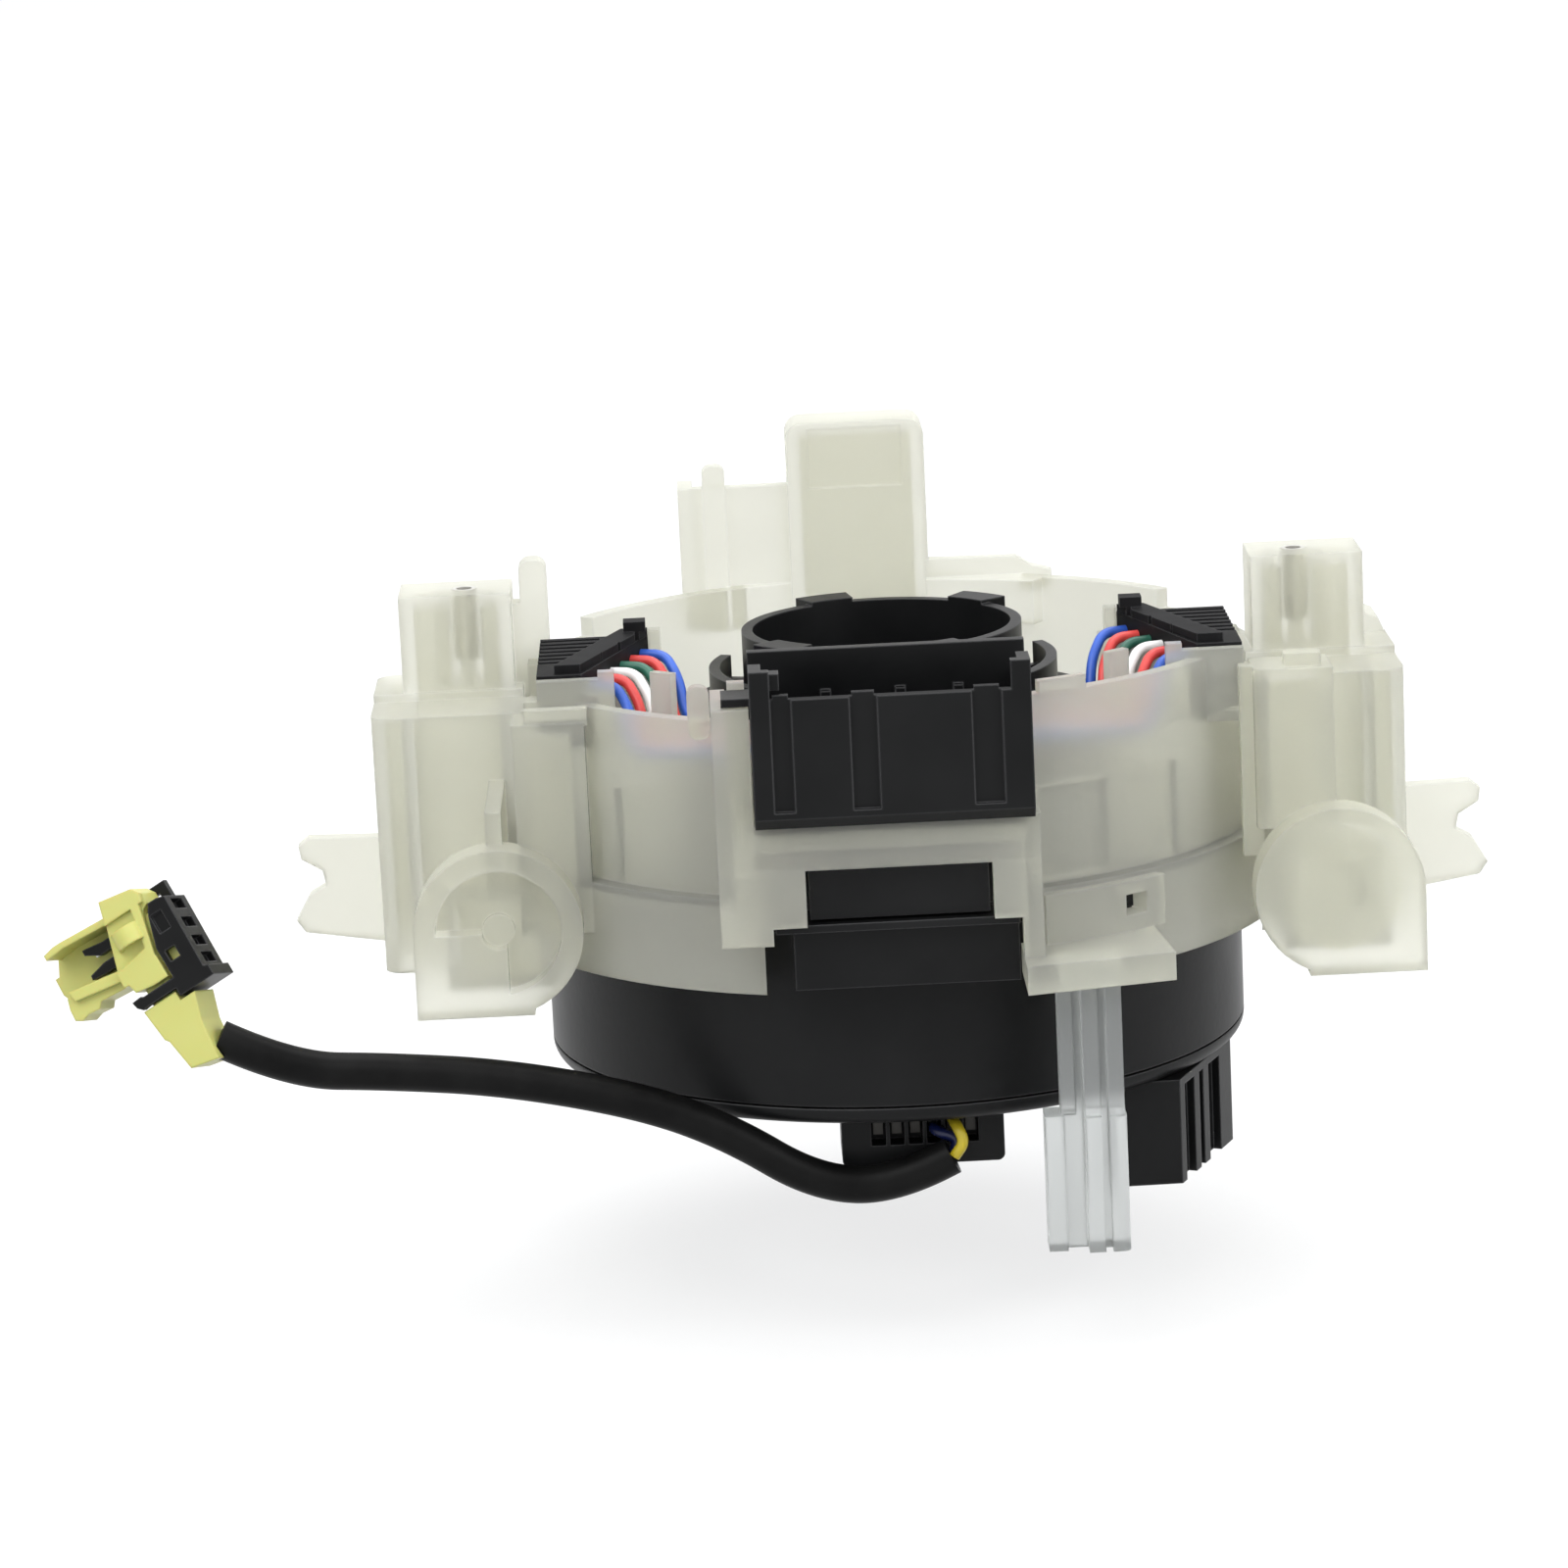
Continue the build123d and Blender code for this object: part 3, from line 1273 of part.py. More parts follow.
# Rotor collar with its keyed ears and guard arc
with BuildPart() as rotor_collar:
    with BuildSketch(Plane.XY.offset(plate_top)):
        Circle(collar_r)
        Circle(collar_bore, mode=Mode.SUBTRACT)
    extrude(amount=collar_top - plate_top)
    with BuildSketch(Plane.XY.offset(turret_top + guard_lift)):
        add(ring_sector(guard_r, guard_r - guard_wall, guard_start, guard_span))
    extrude(amount=guard_top - turret_top - guard_lift)
    with BuildSketch(Plane.XY.offset(turret_top + run_gap)):
        for web in range(guard_webs):
            middle = guard_start + web_first + web * web_step
            with PolarLocations((collar_r + guard_r - guard_wall) / 2, 1, start_angle=middle):
                Rectangle(guard_r - collar_r - guard_wall + 2 * run_gap, web_wide)
    extrude(amount=web_high)
    with BuildSketch(Plane.XY.offset(collar_top + ear_rise - ear_depth)):
        for axis_angle in (90.0, 270.0):
            for ear_side in (-1, 1):
                middle = axis_angle + ear_turn + ear_side * ear_spread
                add(ring_sector(collar_r + ear_out, collar_bore, middle - ear_half, 2 * ear_half))
    extrude(amount=ear_depth)
rotor_collar.part.label = "rotor_collar"

# Connector for the steering wheel harness, under the rotor plate
wheel_outline = [(wheel_at[0] + across, wheel_at[1] + back) for across, back in wheel_plan]
with BuildPart() as wheel_connector:
    with BuildSketch(Plane.XY.offset(wheel_conn_bottom)):
        add(outline(wheel_outline))
    extrude(amount=plate_bottom - wheel_conn_bottom)
    with BuildSketch(Plane.XY.offset(wheel_conn_bottom)):
        add(outline(wheel_outline))
        offset(amount=-wheel_conn_wall, mode=Mode.REPLACE)
    extrude(amount=wheel_conn_deep, mode=Mode.SUBTRACT)
    # upright slots in the slanted outer face
    slant_start = Vector(*wheel_outline[1])
    slant = Vector(*wheel_outline[2]) - slant_start
    slant_turn = degrees(atan2(slant.Y, slant.X))
    with BuildSketch(Plane.XY.offset(wheel_conn_bottom)):
        for slot_at, slot_wide in wheel_slots:
            place = slant_start + slant.normalized() * slot_at
            with Locations(Location((place.X, place.Y, 0), (0, 0, slant_turn))):
                Rectangle(slot_wide, 2 * wheel_slot_deep)
    extrude(amount=wheel_slot_top - wheel_conn_bottom, mode=Mode.SUBTRACT)
wheel_connector.part.label = "wheel_connector"

with BuildPart() as wheel_pins:
    with BuildSketch(Plane.XY.offset(wheel_conn_bottom + wheel_conn_deep - wheel_pin_len)):
        for across, back in wheel_pin_places:
            with Locations((wheel_at[0] + across, wheel_at[1] + back)):
                Rectangle(pin_w, pin_w)
    extrude(amount=wheel_pin_len)
wheel_pins.part.label = "wheel_pins"

# Connector of the airbag lead, under the rotor plate
with BuildPart() as pigtail_connector:
    with BuildSketch(Plane.XY.offset(pig_bottom)):
        span(pig_left, pig_right, pig_front, pig_back)
    pig_block = extrude(amount=plate_bottom - pig_bottom)
    fillet(pig_block.edges().filter_by(Axis.Y).group_by(Axis.Z)[0], pig_round)
    with BuildSketch(Plane.XZ.offset(-pig_front - pig_slot_deep)):
        for slot_x in pig_slots:
            span(slot_x - pig_slot_half, slot_x + pig_slot_half, pig_slot_low, pig_slot_high)
    extrude(amount=pig_slot_deep, mode=Mode.SUBTRACT)
pigtail_connector.part.label = "pigtail_connector"

with BuildPart() as pigtail_terminals:
    with BuildSketch(Plane.XZ.offset(-pig_front - pig_slot_deep)):
        for slot_x in pig_slots:
            with Locations((slot_x, (pig_slot_low + pig_slot_high) / 2)):
                Rectangle(pig_contact[0], pig_contact[1])
    extrude(amount=pig_contact[2])
pigtail_terminals.part.label = "pigtail_terminals"

# Airbag lead: the black sleeve and the two wires that enter it
lead_points = [(x, lead_y - ahead, z) for x, ahead, z in lead_route]
airbag_lead = tube(lead_points, lead_d)
airbag_lead.label = "airbag_lead"
pigtail_wire_yellow = tube(before_connector(yellow_route), inner_wire_d)
pigtail_wire_yellow.label = "pigtail_wire_yellow"
pigtail_wire_blue = tube(before_connector(blue_route), inner_wire_d)
pigtail_wire_blue.label = "pigtail_wire_blue"

# Yellow housing of the airbag plug
with BuildPart() as squib_housing:
    with BuildSketch(plug_plane.offset(-exit_half)):
        add(outline(exit_plan))
    extrude(amount=2 * exit_half)
    with BuildSketch(plug_plane.offset(-core_half)):
        span(*neck_plan)
        span(*core_plan)
    extrude(amount=2 * core_half)
    with BuildSketch(plug_plane.offset(-head_near)):
        add(outline(head_plan))
    extrude(amount=plug_half + head_near)
    with BuildSketch(plug_plane.offset(-plug_half)):
        add(outline(cap_plan))
        add(outline(foot_plan))
        add(outline(rail_plan))
    extrude(amount=plug_half - head_near)
    # strap that bows over the head
    strap_plane = Plane(
        origin=plug_origin + plug_long * strap_from + plug_out * strap_at - plug_plane.z_dir * head_near,
        x_dir=plug_out,
        z_dir=plug_long,
    )
    with BuildSketch(strap_plane):
        Circle(strap_r)
        Circle(strap_r - strap_wall, mode=Mode.SUBTRACT)
    extrude(amount=strap_wide)
    # open barrel: floor, thin upper wall, thick lower wall
    with BuildSketch(plug_plane.offset(floor_near)):
        add(outline(floor_plan))
    extrude(amount=barrel_half - floor_near)
    with BuildSketch(plug_plane.offset(-barrel_half)):
        add(outline(top_wall_plan))
        add(outline(low_lip_plan))
    extrude(amount=2 * barrel_half)
    with BuildSketch(plug_plane.offset(-low_wall_near)):
        add(outline(low_wall_plan))
    extrude(amount=low_wall_near + barrel_half)
    # slots for the prongs of the lock, the groove behind, and the seat of the lead
    with BuildSketch(plug_plane.offset(-prong_near - run_gap)):
        for x0, x1 in prong_slots:
            span(x0, x1, *prong_slot_y)
    extrude(amount=prong_thick + 2 * run_gap, mode=Mode.SUBTRACT)
    with BuildSketch(plug_plane.offset(core_half)):
        span(far_groove[0], far_groove[1], skirt_plan[0][1], far_arm_tip)
    extrude(amount=plug_half - core_half, mode=Mode.SUBTRACT)
    lead_end = Vector(*lead_points[-1])
    lead_back = (Vector(*lead_points[-2]) - lead_end).normalized()
    with BuildSketch(Plane(origin=lead_end, z_dir=lead_back)):
        Circle(lead_d / 2 + fit_gap)
    extrude(amount=lead_d, mode=Mode.SUBTRACT)
squib_housing.part.label = "squib_housing"

with BuildPart() as squib_terminals:
    with BuildSketch(plug_plane.offset(floor_near - contact_high)):
        for x0, x1 in contact_x:
            span(x0, x1, *contact_y)
    extrude(amount=contact_high)
squib_terminals.part.label = "squib_terminals"

# Black secondary lock of the plug, slid out to release it
with BuildPart() as squib_lock:
    with BuildSketch(plug_plane.offset(-plug_half)):
        add(outline(plate_plan))
    extrude(amount=2 * plug_half)
    for depth in (-plug_half, core_half + lock_gap):
        with BuildSketch(plug_plane.offset(depth)):
            add(outline(skirt_plan))
            add(outline(arm_plan))
        extrude(amount=plug_half - core_half - lock_gap)
        with BuildSketch(plug_plane.offset(depth)):
            span(*plug_window)
        extrude(amount=plug_half - core_half - lock_gap, mode=Mode.SUBTRACT)
    with BuildSketch(plug_plane.offset(-plug_half)):
        span(*skirt_recess)
    extrude(amount=skirt_recess_deep, mode=Mode.SUBTRACT)
    with BuildSketch(plug_plane.offset(core_half + lock_gap)):
        span(far_arm[0], far_arm[1], skirt_plan[0][1], far_arm_tip)
        span(far_arm[0], skirt_plan[0][0], skirt_plan[0][1], skirt_plan[1][1])
    extrude(amount=plug_half - core_half - lock_gap)
    with BuildSketch(plug_plane.offset(-prong_near)):
        for prong_plan in prong_plans:
            add(outline(prong_plan))
    extrude(amount=prong_thick)
    with BuildSketch(plug_plane.offset(-plate_slot_wide)):
        for slot_l in plate_slots:
            span(
                slot_l - plate_slot_half,
                slot_l + plate_slot_half,
                plate_plan[4][1],
                plate_plan[2][1] + plate_slot_deep,
            )
    extrude(amount=2 * plate_slot_wide, mode=Mode.SUBTRACT)
squib_lock.part.label = "squib_lock"

pieces = {
    "drum": drum.part,
    "carrier": carrier.part,
    "harness_socket": harness_socket.part,
    "harness_pins": harness_pins.part,
    "lock_pin": lock_pin.part,
    "left_insert": left_insert.part,
    "right_insert": right_insert.part,
    "upper_slip_sheet": upper_slip_sheet.part,
    "lower_slip_sheet": lower_slip_sheet.part,
    "ribbon_cable": ribbon_cable.part,
    "rotor_plate": rotor_plate.part,
    "rotor_collar": rotor_collar.part,
    "wheel_connector": wheel_connector.part,
    "wheel_pins": wheel_pins.part,
    "pigtail_connector": pigtail_connector.part,
    "pigtail_terminals": pigtail_terminals.part,
    "airbag_lead": airbag_lead,
    "pigtail_wire_yellow": pigtail_wire_yellow,
    "pigtail_wire_blue": pigtail_wire_blue,
    "squib_housing": squib_housing.part,
    "squib_terminals": squib_terminals.part,
    "squib_lock": squib_lock.part,
}
pieces.update(switch_wires)
for hand in ("left", "right"):
    pieces[hand + "_switch_socket"] = switch_sockets[hand]
    pieces[hand + "_terminal_retainer"] = switch_retainers[hand]
    pieces[hand + "_switch_terminals"] = switch_terminals[hand]
for name, piece in pieces.items():
    export_step(piece, "parts/" + name + ".step")
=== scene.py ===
from math import atan, cos, radians, sin

import bpy
from mathutils import Matrix, Vector


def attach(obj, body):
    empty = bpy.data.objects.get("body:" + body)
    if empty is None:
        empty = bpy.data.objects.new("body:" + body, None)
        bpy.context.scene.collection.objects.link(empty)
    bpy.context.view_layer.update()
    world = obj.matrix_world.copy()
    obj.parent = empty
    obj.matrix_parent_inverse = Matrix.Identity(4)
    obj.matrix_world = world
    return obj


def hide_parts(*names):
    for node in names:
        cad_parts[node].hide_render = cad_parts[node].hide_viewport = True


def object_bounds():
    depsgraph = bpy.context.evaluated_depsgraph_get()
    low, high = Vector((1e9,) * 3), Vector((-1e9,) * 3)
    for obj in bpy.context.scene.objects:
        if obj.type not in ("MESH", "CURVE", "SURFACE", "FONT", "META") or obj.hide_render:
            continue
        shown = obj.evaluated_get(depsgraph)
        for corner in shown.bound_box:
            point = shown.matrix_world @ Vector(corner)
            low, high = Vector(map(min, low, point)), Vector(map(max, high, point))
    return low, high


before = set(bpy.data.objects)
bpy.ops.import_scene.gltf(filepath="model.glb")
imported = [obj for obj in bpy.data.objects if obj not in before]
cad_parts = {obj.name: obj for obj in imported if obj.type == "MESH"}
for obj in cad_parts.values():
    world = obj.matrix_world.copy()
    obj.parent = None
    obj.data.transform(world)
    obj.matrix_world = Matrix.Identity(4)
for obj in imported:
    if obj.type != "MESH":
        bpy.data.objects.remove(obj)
cad_low, cad_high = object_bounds()
scene = bpy.context.scene
scene.view_settings.view_transform = "Standard"

# Camera: a little above the front, turned (not shifted) until the object's
# origin lies at its pixel in the photograph, aim_px. The lens gives the
# photograph's framing on a square image.
photo_px = 1600
focal_px = 5657.5
aim_px = (910.6, 900.0)
sensor_mm = 36.0
camera_distance = 0.72
near_limit = 0.01
elevation = radians(13.75)
azimuth = radians(-1.7)
camera_roll = radians(2.47)
back = Vector((sin(azimuth) * cos(elevation), -cos(azimuth) * cos(elevation), sin(elevation)))
forward = -back
right = forward.cross(Vector((0, 0, 1))).normalized()
up = right.cross(forward)
roll = Matrix.Rotation(camera_roll, 3, forward)
right, up = roll @ right, roll @ up
turn_side = atan((aim_px[0] - photo_px / 2) / focal_px)
turn_down = atan(-(aim_px[1] - photo_px / 2) / focal_px * cos(turn_side))
side = Matrix.Rotation(turn_side, 3, up)
right, forward = side @ right, side @ forward
down = Matrix.Rotation(-turn_down, 3, right)
up, forward = down @ up, down @ forward
camera_data = bpy.data.cameras.new("camera")
camera_data.sensor_width = sensor_mm
camera_data.lens = focal_px / photo_px * sensor_mm
camera_data.clip_start = near_limit
camera = bpy.data.objects.new("camera", camera_data)
camera_turn = Matrix((right, up, -forward)).transposed().to_4x4()
camera.matrix_world = Matrix.Translation(back * camera_distance) @ camera_turn
scene.collection.objects.link(camera)
scene.camera = camera


# World: even, slightly cool studio light. The camera, and what it sees in
# glass and in gloss, meets plain white past the floor.
def seen_rays(tree):
    """Give 1 for camera, transmission and glossy rays and 0 for all others."""
    path = tree.nodes.new("ShaderNodeLightPath")
    seen = path.outputs["Is Camera Ray"]
    for kind in ("Is Transmission Ray", "Is Glossy Ray"):
        either = tree.nodes.new("ShaderNodeMath")
        either.operation = "MAXIMUM"
        tree.links.new(seen, either.inputs[0])
        tree.links.new(path.outputs[kind], either.inputs[1])
        seen = either.outputs[0]
    return seen


studio_colour = (0.95, 0.97, 1.0, 1)
white = (1, 1, 1, 1)
world = bpy.data.worlds.new("studio")
world.use_nodes = True
scene.world = world
tree = world.node_tree
tree.nodes.clear()
output = tree.nodes.new("ShaderNodeOutputWorld")
studio = tree.nodes.new("ShaderNodeBackground")
studio.inputs["Color"].default_value = studio_colour
studio.inputs["Strength"].default_value = 1.0
backdrop = tree.nodes.new("ShaderNodeBackground")
backdrop.inputs["Color"].default_value = white
backdrop.inputs["Strength"].default_value = 1.0
mix = tree.nodes.new("ShaderNodeMixShader")
tree.links.new(seen_rays(tree), mix.inputs["Fac"])
tree.links.new(studio.outputs[0], mix.inputs[1])
tree.links.new(backdrop.outputs[0], mix.inputs[2])
tree.links.new(mix.outputs[0], output.inputs["Surface"])

# Lamps: a large soft box over the front left, a weaker one from the right and
# one from above, all aimed at the object. Sizes in metres, power in watts.
for name, place, size, power in (
    ("key", (-0.5, -0.75, 1.0), 0.9, 8.0),
    ("fill", (0.9, -0.6, 0.55), 0.8, 5.0),
    ("top", (0.1, 0.3, 1.2), 0.8, 6.5),
):
    lamp = bpy.data.lights.new(name, "AREA")
    lamp.size = size
    lamp.energy = power
    holder = bpy.data.objects.new(name, lamp)
    holder.location = place
    holder.rotation_euler = (-Vector(place)).to_track_quat("-Z", "Y").to_euler()
    scene.collection.objects.link(holder)

# Floor: a plain pale sheet 15 mm under the lowest point of the held object. It
# takes the object's shadow, and its glow brings what is seen of it up to white.
floor_half = 4.0
floor_gap = 0.015
floor_z = cad_low[2] - floor_gap
floor_grey = (0.32, 0.32, 0.32, 1)
glow_strength = 0.68
floor_mesh = bpy.data.meshes.new("floor")
corners = [(x * floor_half, y * floor_half, floor_z) for x, y in ((-1, -1), (1, -1), (1, 1), (-1, 1))]
floor_mesh.from_pydata(corners, [], [(0, 1, 2, 3)])
floor = bpy.data.objects.new("floor", floor_mesh)
scene.collection.objects.link(floor)
pale = bpy.data.materials.new("pale_floor")
pale.use_nodes = True
tree = pale.node_tree
tree.nodes.clear()
output = tree.nodes.new("ShaderNodeOutputMaterial")
diffuse = tree.nodes.new("ShaderNodeBsdfDiffuse")
diffuse.inputs["Color"].default_value = floor_grey
glow = tree.nodes.new("ShaderNodeEmission")
glow.inputs["Color"].default_value = white
seen_part = tree.nodes.new("ShaderNodeMath")
seen_part.operation = "MULTIPLY"
seen_part.inputs[1].default_value = glow_strength
add = tree.nodes.new("ShaderNodeAddShader")
tree.links.new(seen_rays(tree), seen_part.inputs[0])
tree.links.new(seen_part.outputs[0], glow.inputs["Strength"])
tree.links.new(diffuse.outputs[0], add.inputs[0])
tree.links.new(glow.outputs[0], add.inputs[1])
tree.links.new(add.outputs[0], output.inputs["Surface"])
floor_mesh.materials.append(pale)


# Airbag lead: two wires in a black PVC sleeve, 4.7 mm thick, from the pigtail
# connector under the rotor to the squib plug; it hangs free between them.
def new_finish(name, sockets):
    """Make a material and set these sockets of its shader to one value each."""
    finish = bpy.data.materials.new(name)
    finish.use_nodes = True
    shader = finish.node_tree.nodes["Principled BSDF"]
    for socket, value in sockets.items():
        shader.inputs[socket].default_value = value
    return finish, finish.node_tree, shader


def grain(tree, scale, detail=2.0):
    """Noise that stays in the piece, because it reads Object coordinates."""
    coords = tree.nodes.new("ShaderNodeTexCoord")
    noise = tree.nodes.new("ShaderNodeTexNoise")
    noise.inputs["Scale"].default_value = scale
    noise.inputs["Detail"].default_value = detail
    tree.links.new(coords.outputs["Object"], noise.inputs["Vector"])
    return noise.outputs["Fac"]


def two_tones(tree, noise, low, high, start=0.0, end=1.0):
    """Spread the noise over two tones of one colour."""
    ramp = tree.nodes.new("ShaderNodeValToRGB")
    ramp.color_ramp.elements[0].position = start
    ramp.color_ramp.elements[0].color = (*low, 1)
    ramp.color_ramp.elements[1].position = end
    ramp.color_ramp.elements[1].color = (*high, 1)
    tree.links.new(noise, ramp.inputs["Fac"])
    return ramp.outputs["Color"]


def texture(tree, noise, strength, distance, normal=None):
    """Raise the noise as a faint surface texture, on a given normal if there is one."""
    bump = tree.nodes.new("ShaderNodeBump")
    bump.inputs["Strength"].default_value = strength
    bump.inputs["Distance"].default_value = distance
    tree.links.new(noise, bump.inputs["Height"])
    if normal is not None:
        tree.links.new(normal, bump.inputs["Normal"])
    return bump.outputs["Normal"]


lead_points = (
    (4.7, -41.0, -25.1),
    (-2.3, -41.0, -28.6),
    (-12.2, -41.3, -27.7),
    (-22.8, -42.2, -20.2),
    (-33.6, -41.6, -15.8),
    (-50.0, -41.0, -12.2),
    (-64.2, -41.0, -10.7),
    (-76.0, -41.0, -10.0),
    (-84.6, -41.0, -5.4),
)
lead_radius = 0.00235
lead_curve = bpy.data.curves.new("lead", "CURVE")
lead_curve.dimensions = "3D"
lead_curve.bevel_depth = lead_radius
lead_curve.bevel_resolution = 6
lead_curve.resolution_u = 16
lead_curve.use_fill_caps = True
spline = lead_curve.splines.new("NURBS")
spline.points.add(len(lead_points) - 1)
for point, (x, y, z) in zip(spline.points, lead_points):
    point.co = (x / 1000, y / 1000, z / 1000, 1)
spline.order_u = 3
spline.use_endpoint_u = True
lead = bpy.data.objects.new("lead", lead_curve)
scene.collection.objects.link(lead)
sleeve, tree, shader = new_finish("black_sleeve", {"Roughness": 0.42, "Specular IOR Level": 0.09})
noise = grain(tree, scale=160.0, detail=3.0)
tones = two_tones(tree, noise, (0.003, 0.003, 0.003), (0.009, 0.009, 0.0088), start=0.3, end=0.75)
tree.links.new(tones, shader.inputs["Base Color"])
tree.links.new(texture(tree, noise, strength=0.12, distance=0.0003), shader.inputs["Normal"])
lead_curve.materials.append(sleeve)
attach(lead, "rotor")
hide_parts("airbag_lead")


# Carrier: one milky, slightly yellow nylon moulding with 2 mm walls, clipped
# over the drum. It lets light through, so what stands close behind shows as a
# soft grey. Its thin rims get a painted highlight: a paler colour mixed in along the edges.
def soft_edges(tree, radius):
    """Round the shading at sharp edges, as a mould rounds them."""
    bevel = tree.nodes.new("ShaderNodeBevel")
    bevel.samples = 4
    bevel.inputs["Radius"].default_value = radius
    return bevel.outputs["Normal"]


def painted_edge_highlights(tree, colour, rounded, highlight_colour, share=1.0):
    """Paint a highlight: mix the highlight colour in where the rounded normal leaves the true one, along
    the edges.
    """
    face = tree.nodes.new("ShaderNodeNewGeometry")
    turn = tree.nodes.new("ShaderNodeVectorMath")
    turn.operation = "DOT_PRODUCT"
    edge = tree.nodes.new("ShaderNodeMapRange")
    edge.inputs["From Min"].default_value = 0.8
    edge.inputs["From Max"].default_value = 0.99
    edge.inputs["To Min"].default_value = share
    edge.inputs["To Max"].default_value = 0.0
    mix = tree.nodes.new("ShaderNodeMix")
    mix.data_type = "RGBA"
    base_socket, edge_socket, mixed = mix.inputs[6], mix.inputs[7], mix.outputs[2]
    edge_socket.default_value = (*highlight_colour, 1)
    tree.links.new(rounded, turn.inputs[0])
    tree.links.new(face.outputs["True Normal"], turn.inputs[1])
    tree.links.new(turn.outputs["Value"], edge.inputs["Value"])
    tree.links.new(edge.outputs["Result"], mix.inputs["Factor"])
    tree.links.new(colour, base_socket)
    return mixed


def give(names, finish):
    """Put one finish on these pieces of the frame."""
    for name in names:
        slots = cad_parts[name].data.materials
        slots.clear()
        slots.append(finish)


milky, tree, shader = new_finish(
    "milky_nylon",
    {"Roughness": 0.64, "IOR": 1.25, "Transmission Weight": 0.77, "Specular IOR Level": 0.35},
)
cloud = grain(tree, scale=45.0, detail=4.0)
tones = two_tones(tree, cloud, (0.79, 0.785, 0.71), (0.86, 0.86, 0.785), start=0.25, end=0.75)
rounded = soft_edges(tree, radius=0.0004)
# Painted highlight: a near-white colour mixed in along the rims.
rim_highlights = painted_edge_highlights(tree, tones, rounded, highlight_colour=(0.95, 0.95, 0.92), share=0.6)
surface = texture(tree, grain(tree, scale=700.0), strength=0.06, distance=0.0002, normal=rounded)
tree.links.new(rim_highlights, shader.inputs["Base Color"])
tree.links.new(surface, shader.inputs["Normal"])
give(("carrier",), milky)


# Drum, collar, rotor plate, harness socket, the two connectors under the plate
# and the plug's lock: black glass-filled plastic straight from the tool, with
# a faint moulding texture and a gloss that varies a little. A thin light grey
# painted highlight runs along its edges.
def gloss_range(tree, noise, low, high):
    """Spread the noise over a range of roughness."""
    rough = tree.nodes.new("ShaderNodeMapRange")
    rough.inputs["To Min"].default_value = low
    rough.inputs["To Max"].default_value = high
    tree.links.new(noise, rough.inputs["Value"])
    return rough.outputs["Result"]


black, tree, shader = new_finish("black_plastic", {"Specular IOR Level": 0.14})
cloud = grain(tree, scale=60.0, detail=4.0)
tones = two_tones(tree, cloud, (0.004, 0.0042, 0.0045), (0.011, 0.0112, 0.0115), start=0.3, end=0.8)
rounded = soft_edges(tree, radius=0.0003)
# Painted highlight: light grey mixed in along every edge.
rim_highlights = painted_edge_highlights(tree, tones, rounded, highlight_colour=(0.09, 0.09, 0.092))
surface = texture(tree, grain(tree, scale=900.0), strength=0.08, distance=0.0002, normal=rounded)
tree.links.new(rim_highlights, shader.inputs["Base Color"])
tree.links.new(gloss_range(tree, cloud, low=0.3, high=0.48), shader.inputs["Roughness"])
tree.links.new(surface, shader.inputs["Normal"])
black_pieces = (
    "drum",
    "rotor_collar",
    "rotor_plate",
    "harness_socket",
    "wheel_connector",
    "pigtail_connector",
    "squib_lock",
)
give(black_pieces, black)

# Connectors of the stalk switches and the retainers that lock their contacts:
# near-black PBT, duller than the drum, snapped into the carrier on each side.
# A dark grey painted highlight runs along their edges.
dark, tree, shader = new_finish("dark_plastic", {"Roughness": 0.6, "Specular IOR Level": 0.1})
noise = grain(tree, scale=250.0)
tones = two_tones(tree, noise, (0.006, 0.006, 0.0065), (0.012, 0.012, 0.013), start=0.3, end=0.7)
rounded = soft_edges(tree, radius=0.0002)
# Painted highlight: dark grey mixed in along every edge.
rim_highlights = painted_edge_highlights(tree, tones, rounded, highlight_colour=(0.07, 0.07, 0.072))
surface = texture(tree, noise, strength=0.1, distance=0.0002, normal=rounded)
tree.links.new(rim_highlights, shader.inputs["Base Color"])
tree.links.new(surface, shader.inputs["Normal"])
for hand in ("left", "right"):
    give((hand + "_switch_socket", hand + "_terminal_retainer"), dark)

# Transport lock: a key of clear polycarbonate, slightly cloudy from use. It is
# pushed into the carrier's shelf from below and keeps the rotor from turning
# until the steering wheel is on.
clear, tree, shader = new_finish(
    "clear_plastic",
    {"Base Color": (0.74, 0.76, 0.75, 1), "IOR": 1.45, "Transmission Weight": 0.8},
)
cloud = grain(tree, scale=120.0)
rounded = soft_edges(tree, radius=0.0004)
surface = texture(tree, cloud, strength=0.1, distance=0.0003, normal=rounded)
tree.links.new(gloss_range(tree, cloud, low=0.22, high=0.4), shader.inputs["Roughness"])
tree.links.new(surface, shader.inputs["Normal"])
give(("lock_pin",), clear)

# Squib plug housing: pale yellow nylon, moulded in one piece, with a soft
# sheen. It clicks into the airbag and is held there by its black lock.
yellow, tree, shader = new_finish(
    "yellow_plastic",
    {"Roughness": 0.4, "Subsurface Weight": 0.25, "Subsurface Scale": 0.001},
)
cloud = grain(tree, scale=90.0)
tones = two_tones(tree, cloud, (0.55, 0.55, 0.15), (0.58, 0.57, 0.18), start=0.3, end=0.75)
rounded = soft_edges(tree, radius=0.0004)
surface = texture(tree, cloud, strength=0.08, distance=0.0002, normal=rounded)
tree.links.new(tones, shader.inputs["Base Color"])
tree.links.new(surface, shader.inputs["Normal"])
give(("squib_housing",), yellow)

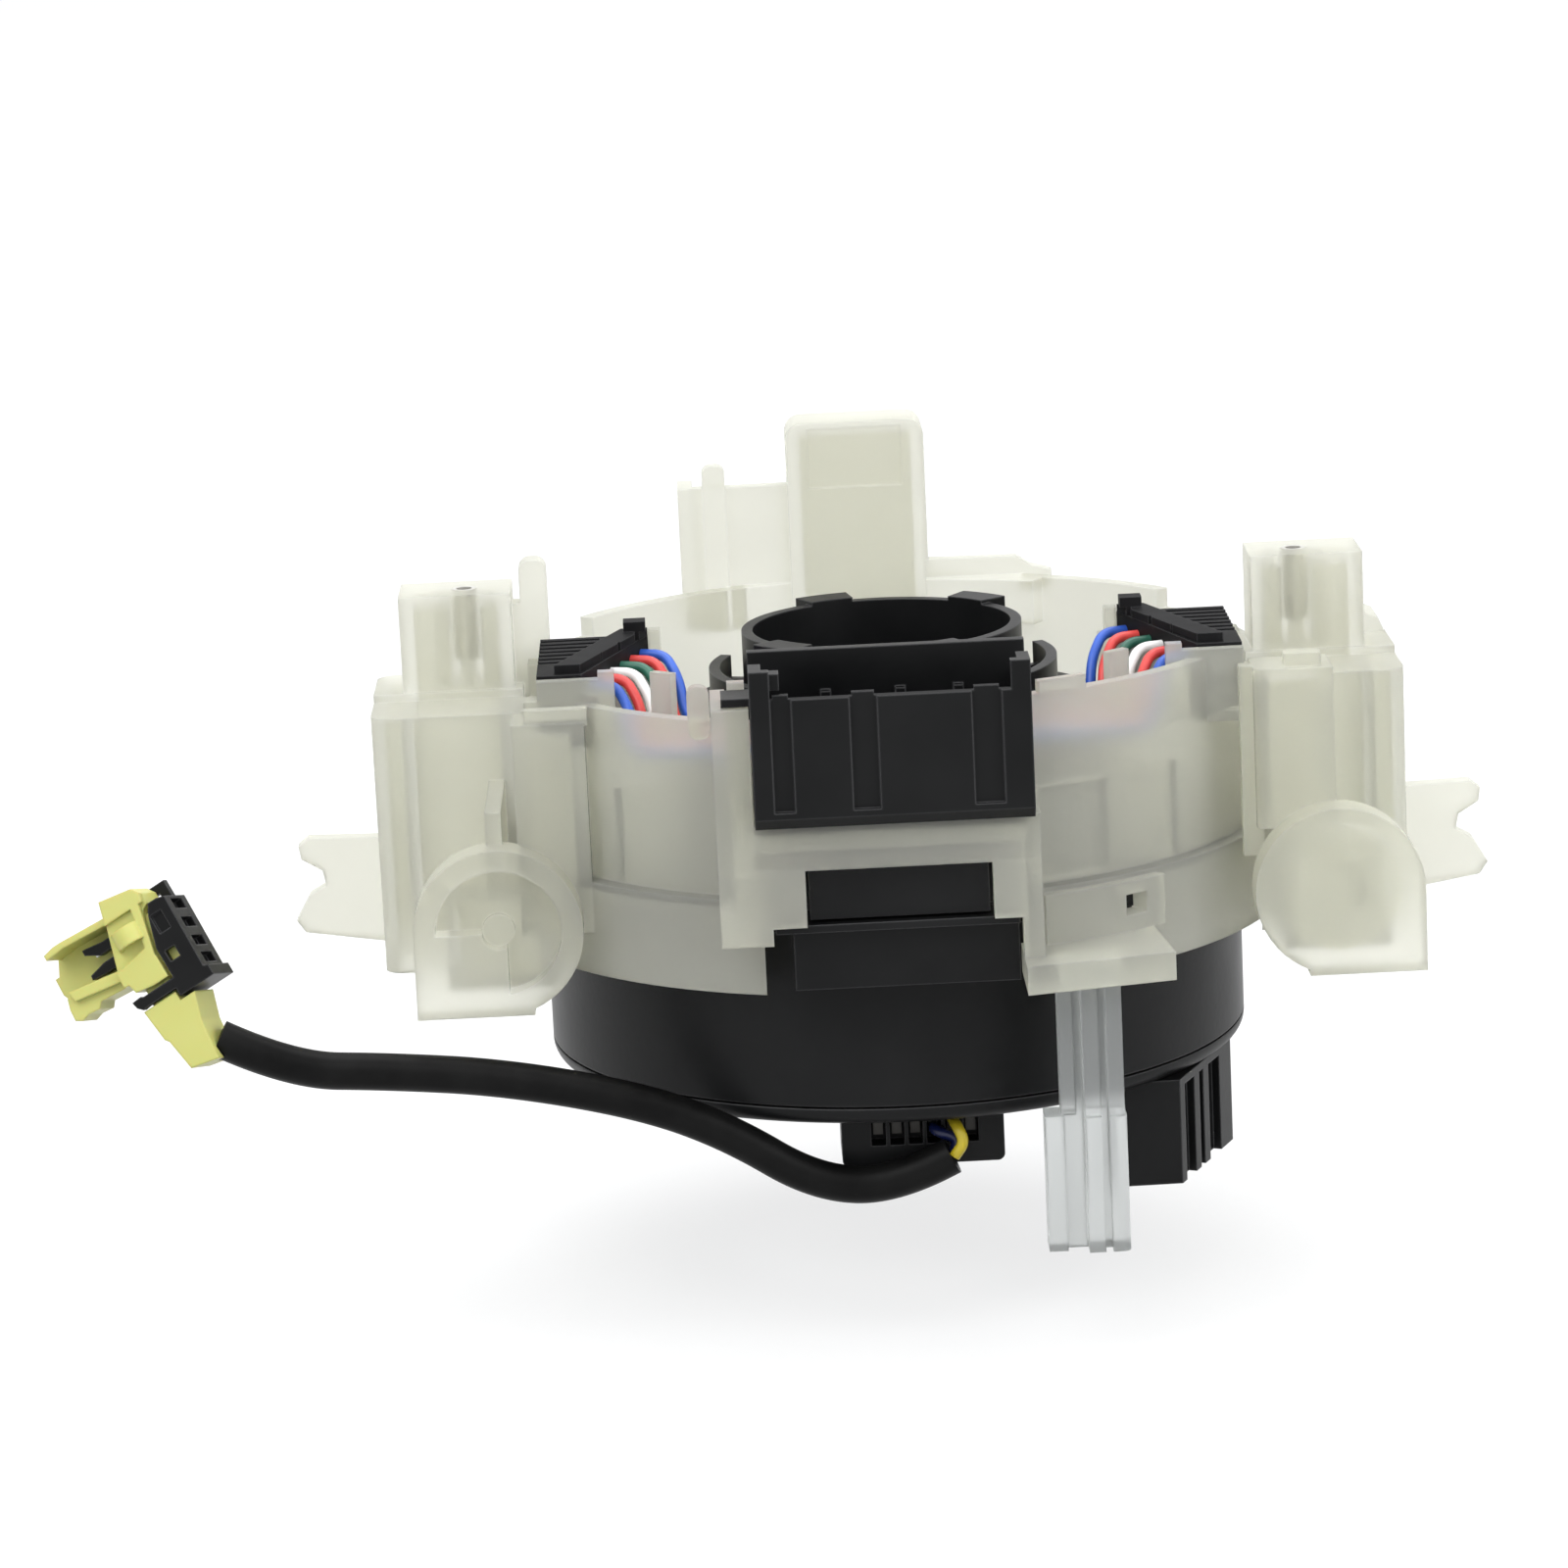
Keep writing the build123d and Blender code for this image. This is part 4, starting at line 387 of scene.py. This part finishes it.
# Wires of the switch connectors and the two free wire ends at the pigtail: PVC
# in plain colours with a slight gloss, cut to length and crimped by machine.
# The pigtail's blue is nearly black.
for group, name, low, high in (
    ("switch", "blue", (0.02, 0.08, 0.42), (0.04, 0.13, 0.60)),
    ("switch", "red", (0.55, 0.03, 0.03), (0.80, 0.08, 0.07)),
    ("switch", "green", (0.015, 0.09, 0.06), (0.03, 0.16, 0.10)),
    ("switch", "white", (0.78, 0.78, 0.77), (0.88, 0.88, 0.86)),
    ("pigtail", "blue", (0.004, 0.008, 0.05), (0.007, 0.015, 0.09)),
    ("pigtail", "yellow", (0.50, 0.38, 0.01), (0.62, 0.50, 0.03)),
):
    coat, tree, shader = new_finish(group + "_wire_" + name, {"Roughness": 0.35})
    tones = two_tones(tree, grain(tree, scale=200.0), low, high, start=0.3, end=0.7)
    tree.links.new(tones, shader.inputs["Base Color"])
    for node_name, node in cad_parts.items():
        in_group = (group == "pigtail") == node_name.startswith("pigtail")
        if in_group and "wire_" + name in node_name:
            give((node_name,), coat)
            for face in node.data.polygons:
                face.use_smooth = True

# Contacts of the harness socket, wheel connector, squib plug and switch
# connectors: brass, stamped and plated with tin, pressed in from behind.
tin, tree, shader = new_finish("tin_contact", {"Base Color": (0.72, 0.72, 0.70, 1), "Metallic": 1.0})
gloss = gloss_range(tree, grain(tree, scale=400.0), low=0.25, high=0.4)
tree.links.new(gloss, shader.inputs["Roughness"])
tin_pieces = (
    "harness_pins",
    "wheel_pins",
    "squib_terminals",
    "left_switch_terminals",
    "right_switch_terminals",
)
give(tin_pieces, tin)

# Pigtail terminals: stamped copper alloy without plating, set deep in the
# slots of their black housing. Their dull, near-black colour is painted shade from those slots.
slot_shaded, tree, shader = new_finish("slot_shaded_contact", {"Roughness": 0.5})
tones = two_tones(tree, grain(tree, scale=400.0), (0.03, 0.028, 0.025), (0.07, 0.062, 0.05))
tree.links.new(tones, shader.inputs["Base Color"])
give(("pigtail_terminals",), slot_shaded)

# Tower inserts: turned brass bushes with a bright nickel plating, pressed into
# the carrier's towers to take the screws.
plated, tree, shader = new_finish("plated_insert", {"Base Color": (0.80, 0.79, 0.75, 1), "Metallic": 1.0})
gloss = gloss_range(tree, grain(tree, scale=500.0), low=0.25, high=0.45)
tree.links.new(gloss, shader.inputs["Roughness"])
give(("left_insert", "right_insert"), plated)

# Inner cable room: the flat cable is polyester film with copper tracks, wound
# loosely around the rotor. It runs between two slip sheets cut from waxy film,
# one under the drum's roof and one on the rotor plate.
film, tree, shader = new_finish("ribbon_film", {"Roughness": 0.4})
tones = two_tones(tree, grain(tree, scale=150.0), (0.70, 0.66, 0.52), (0.84, 0.82, 0.74))
tree.links.new(tones, shader.inputs["Base Color"])
give(("ribbon_cable", "upper_slip_sheet", "lower_slip_sheet"), film)
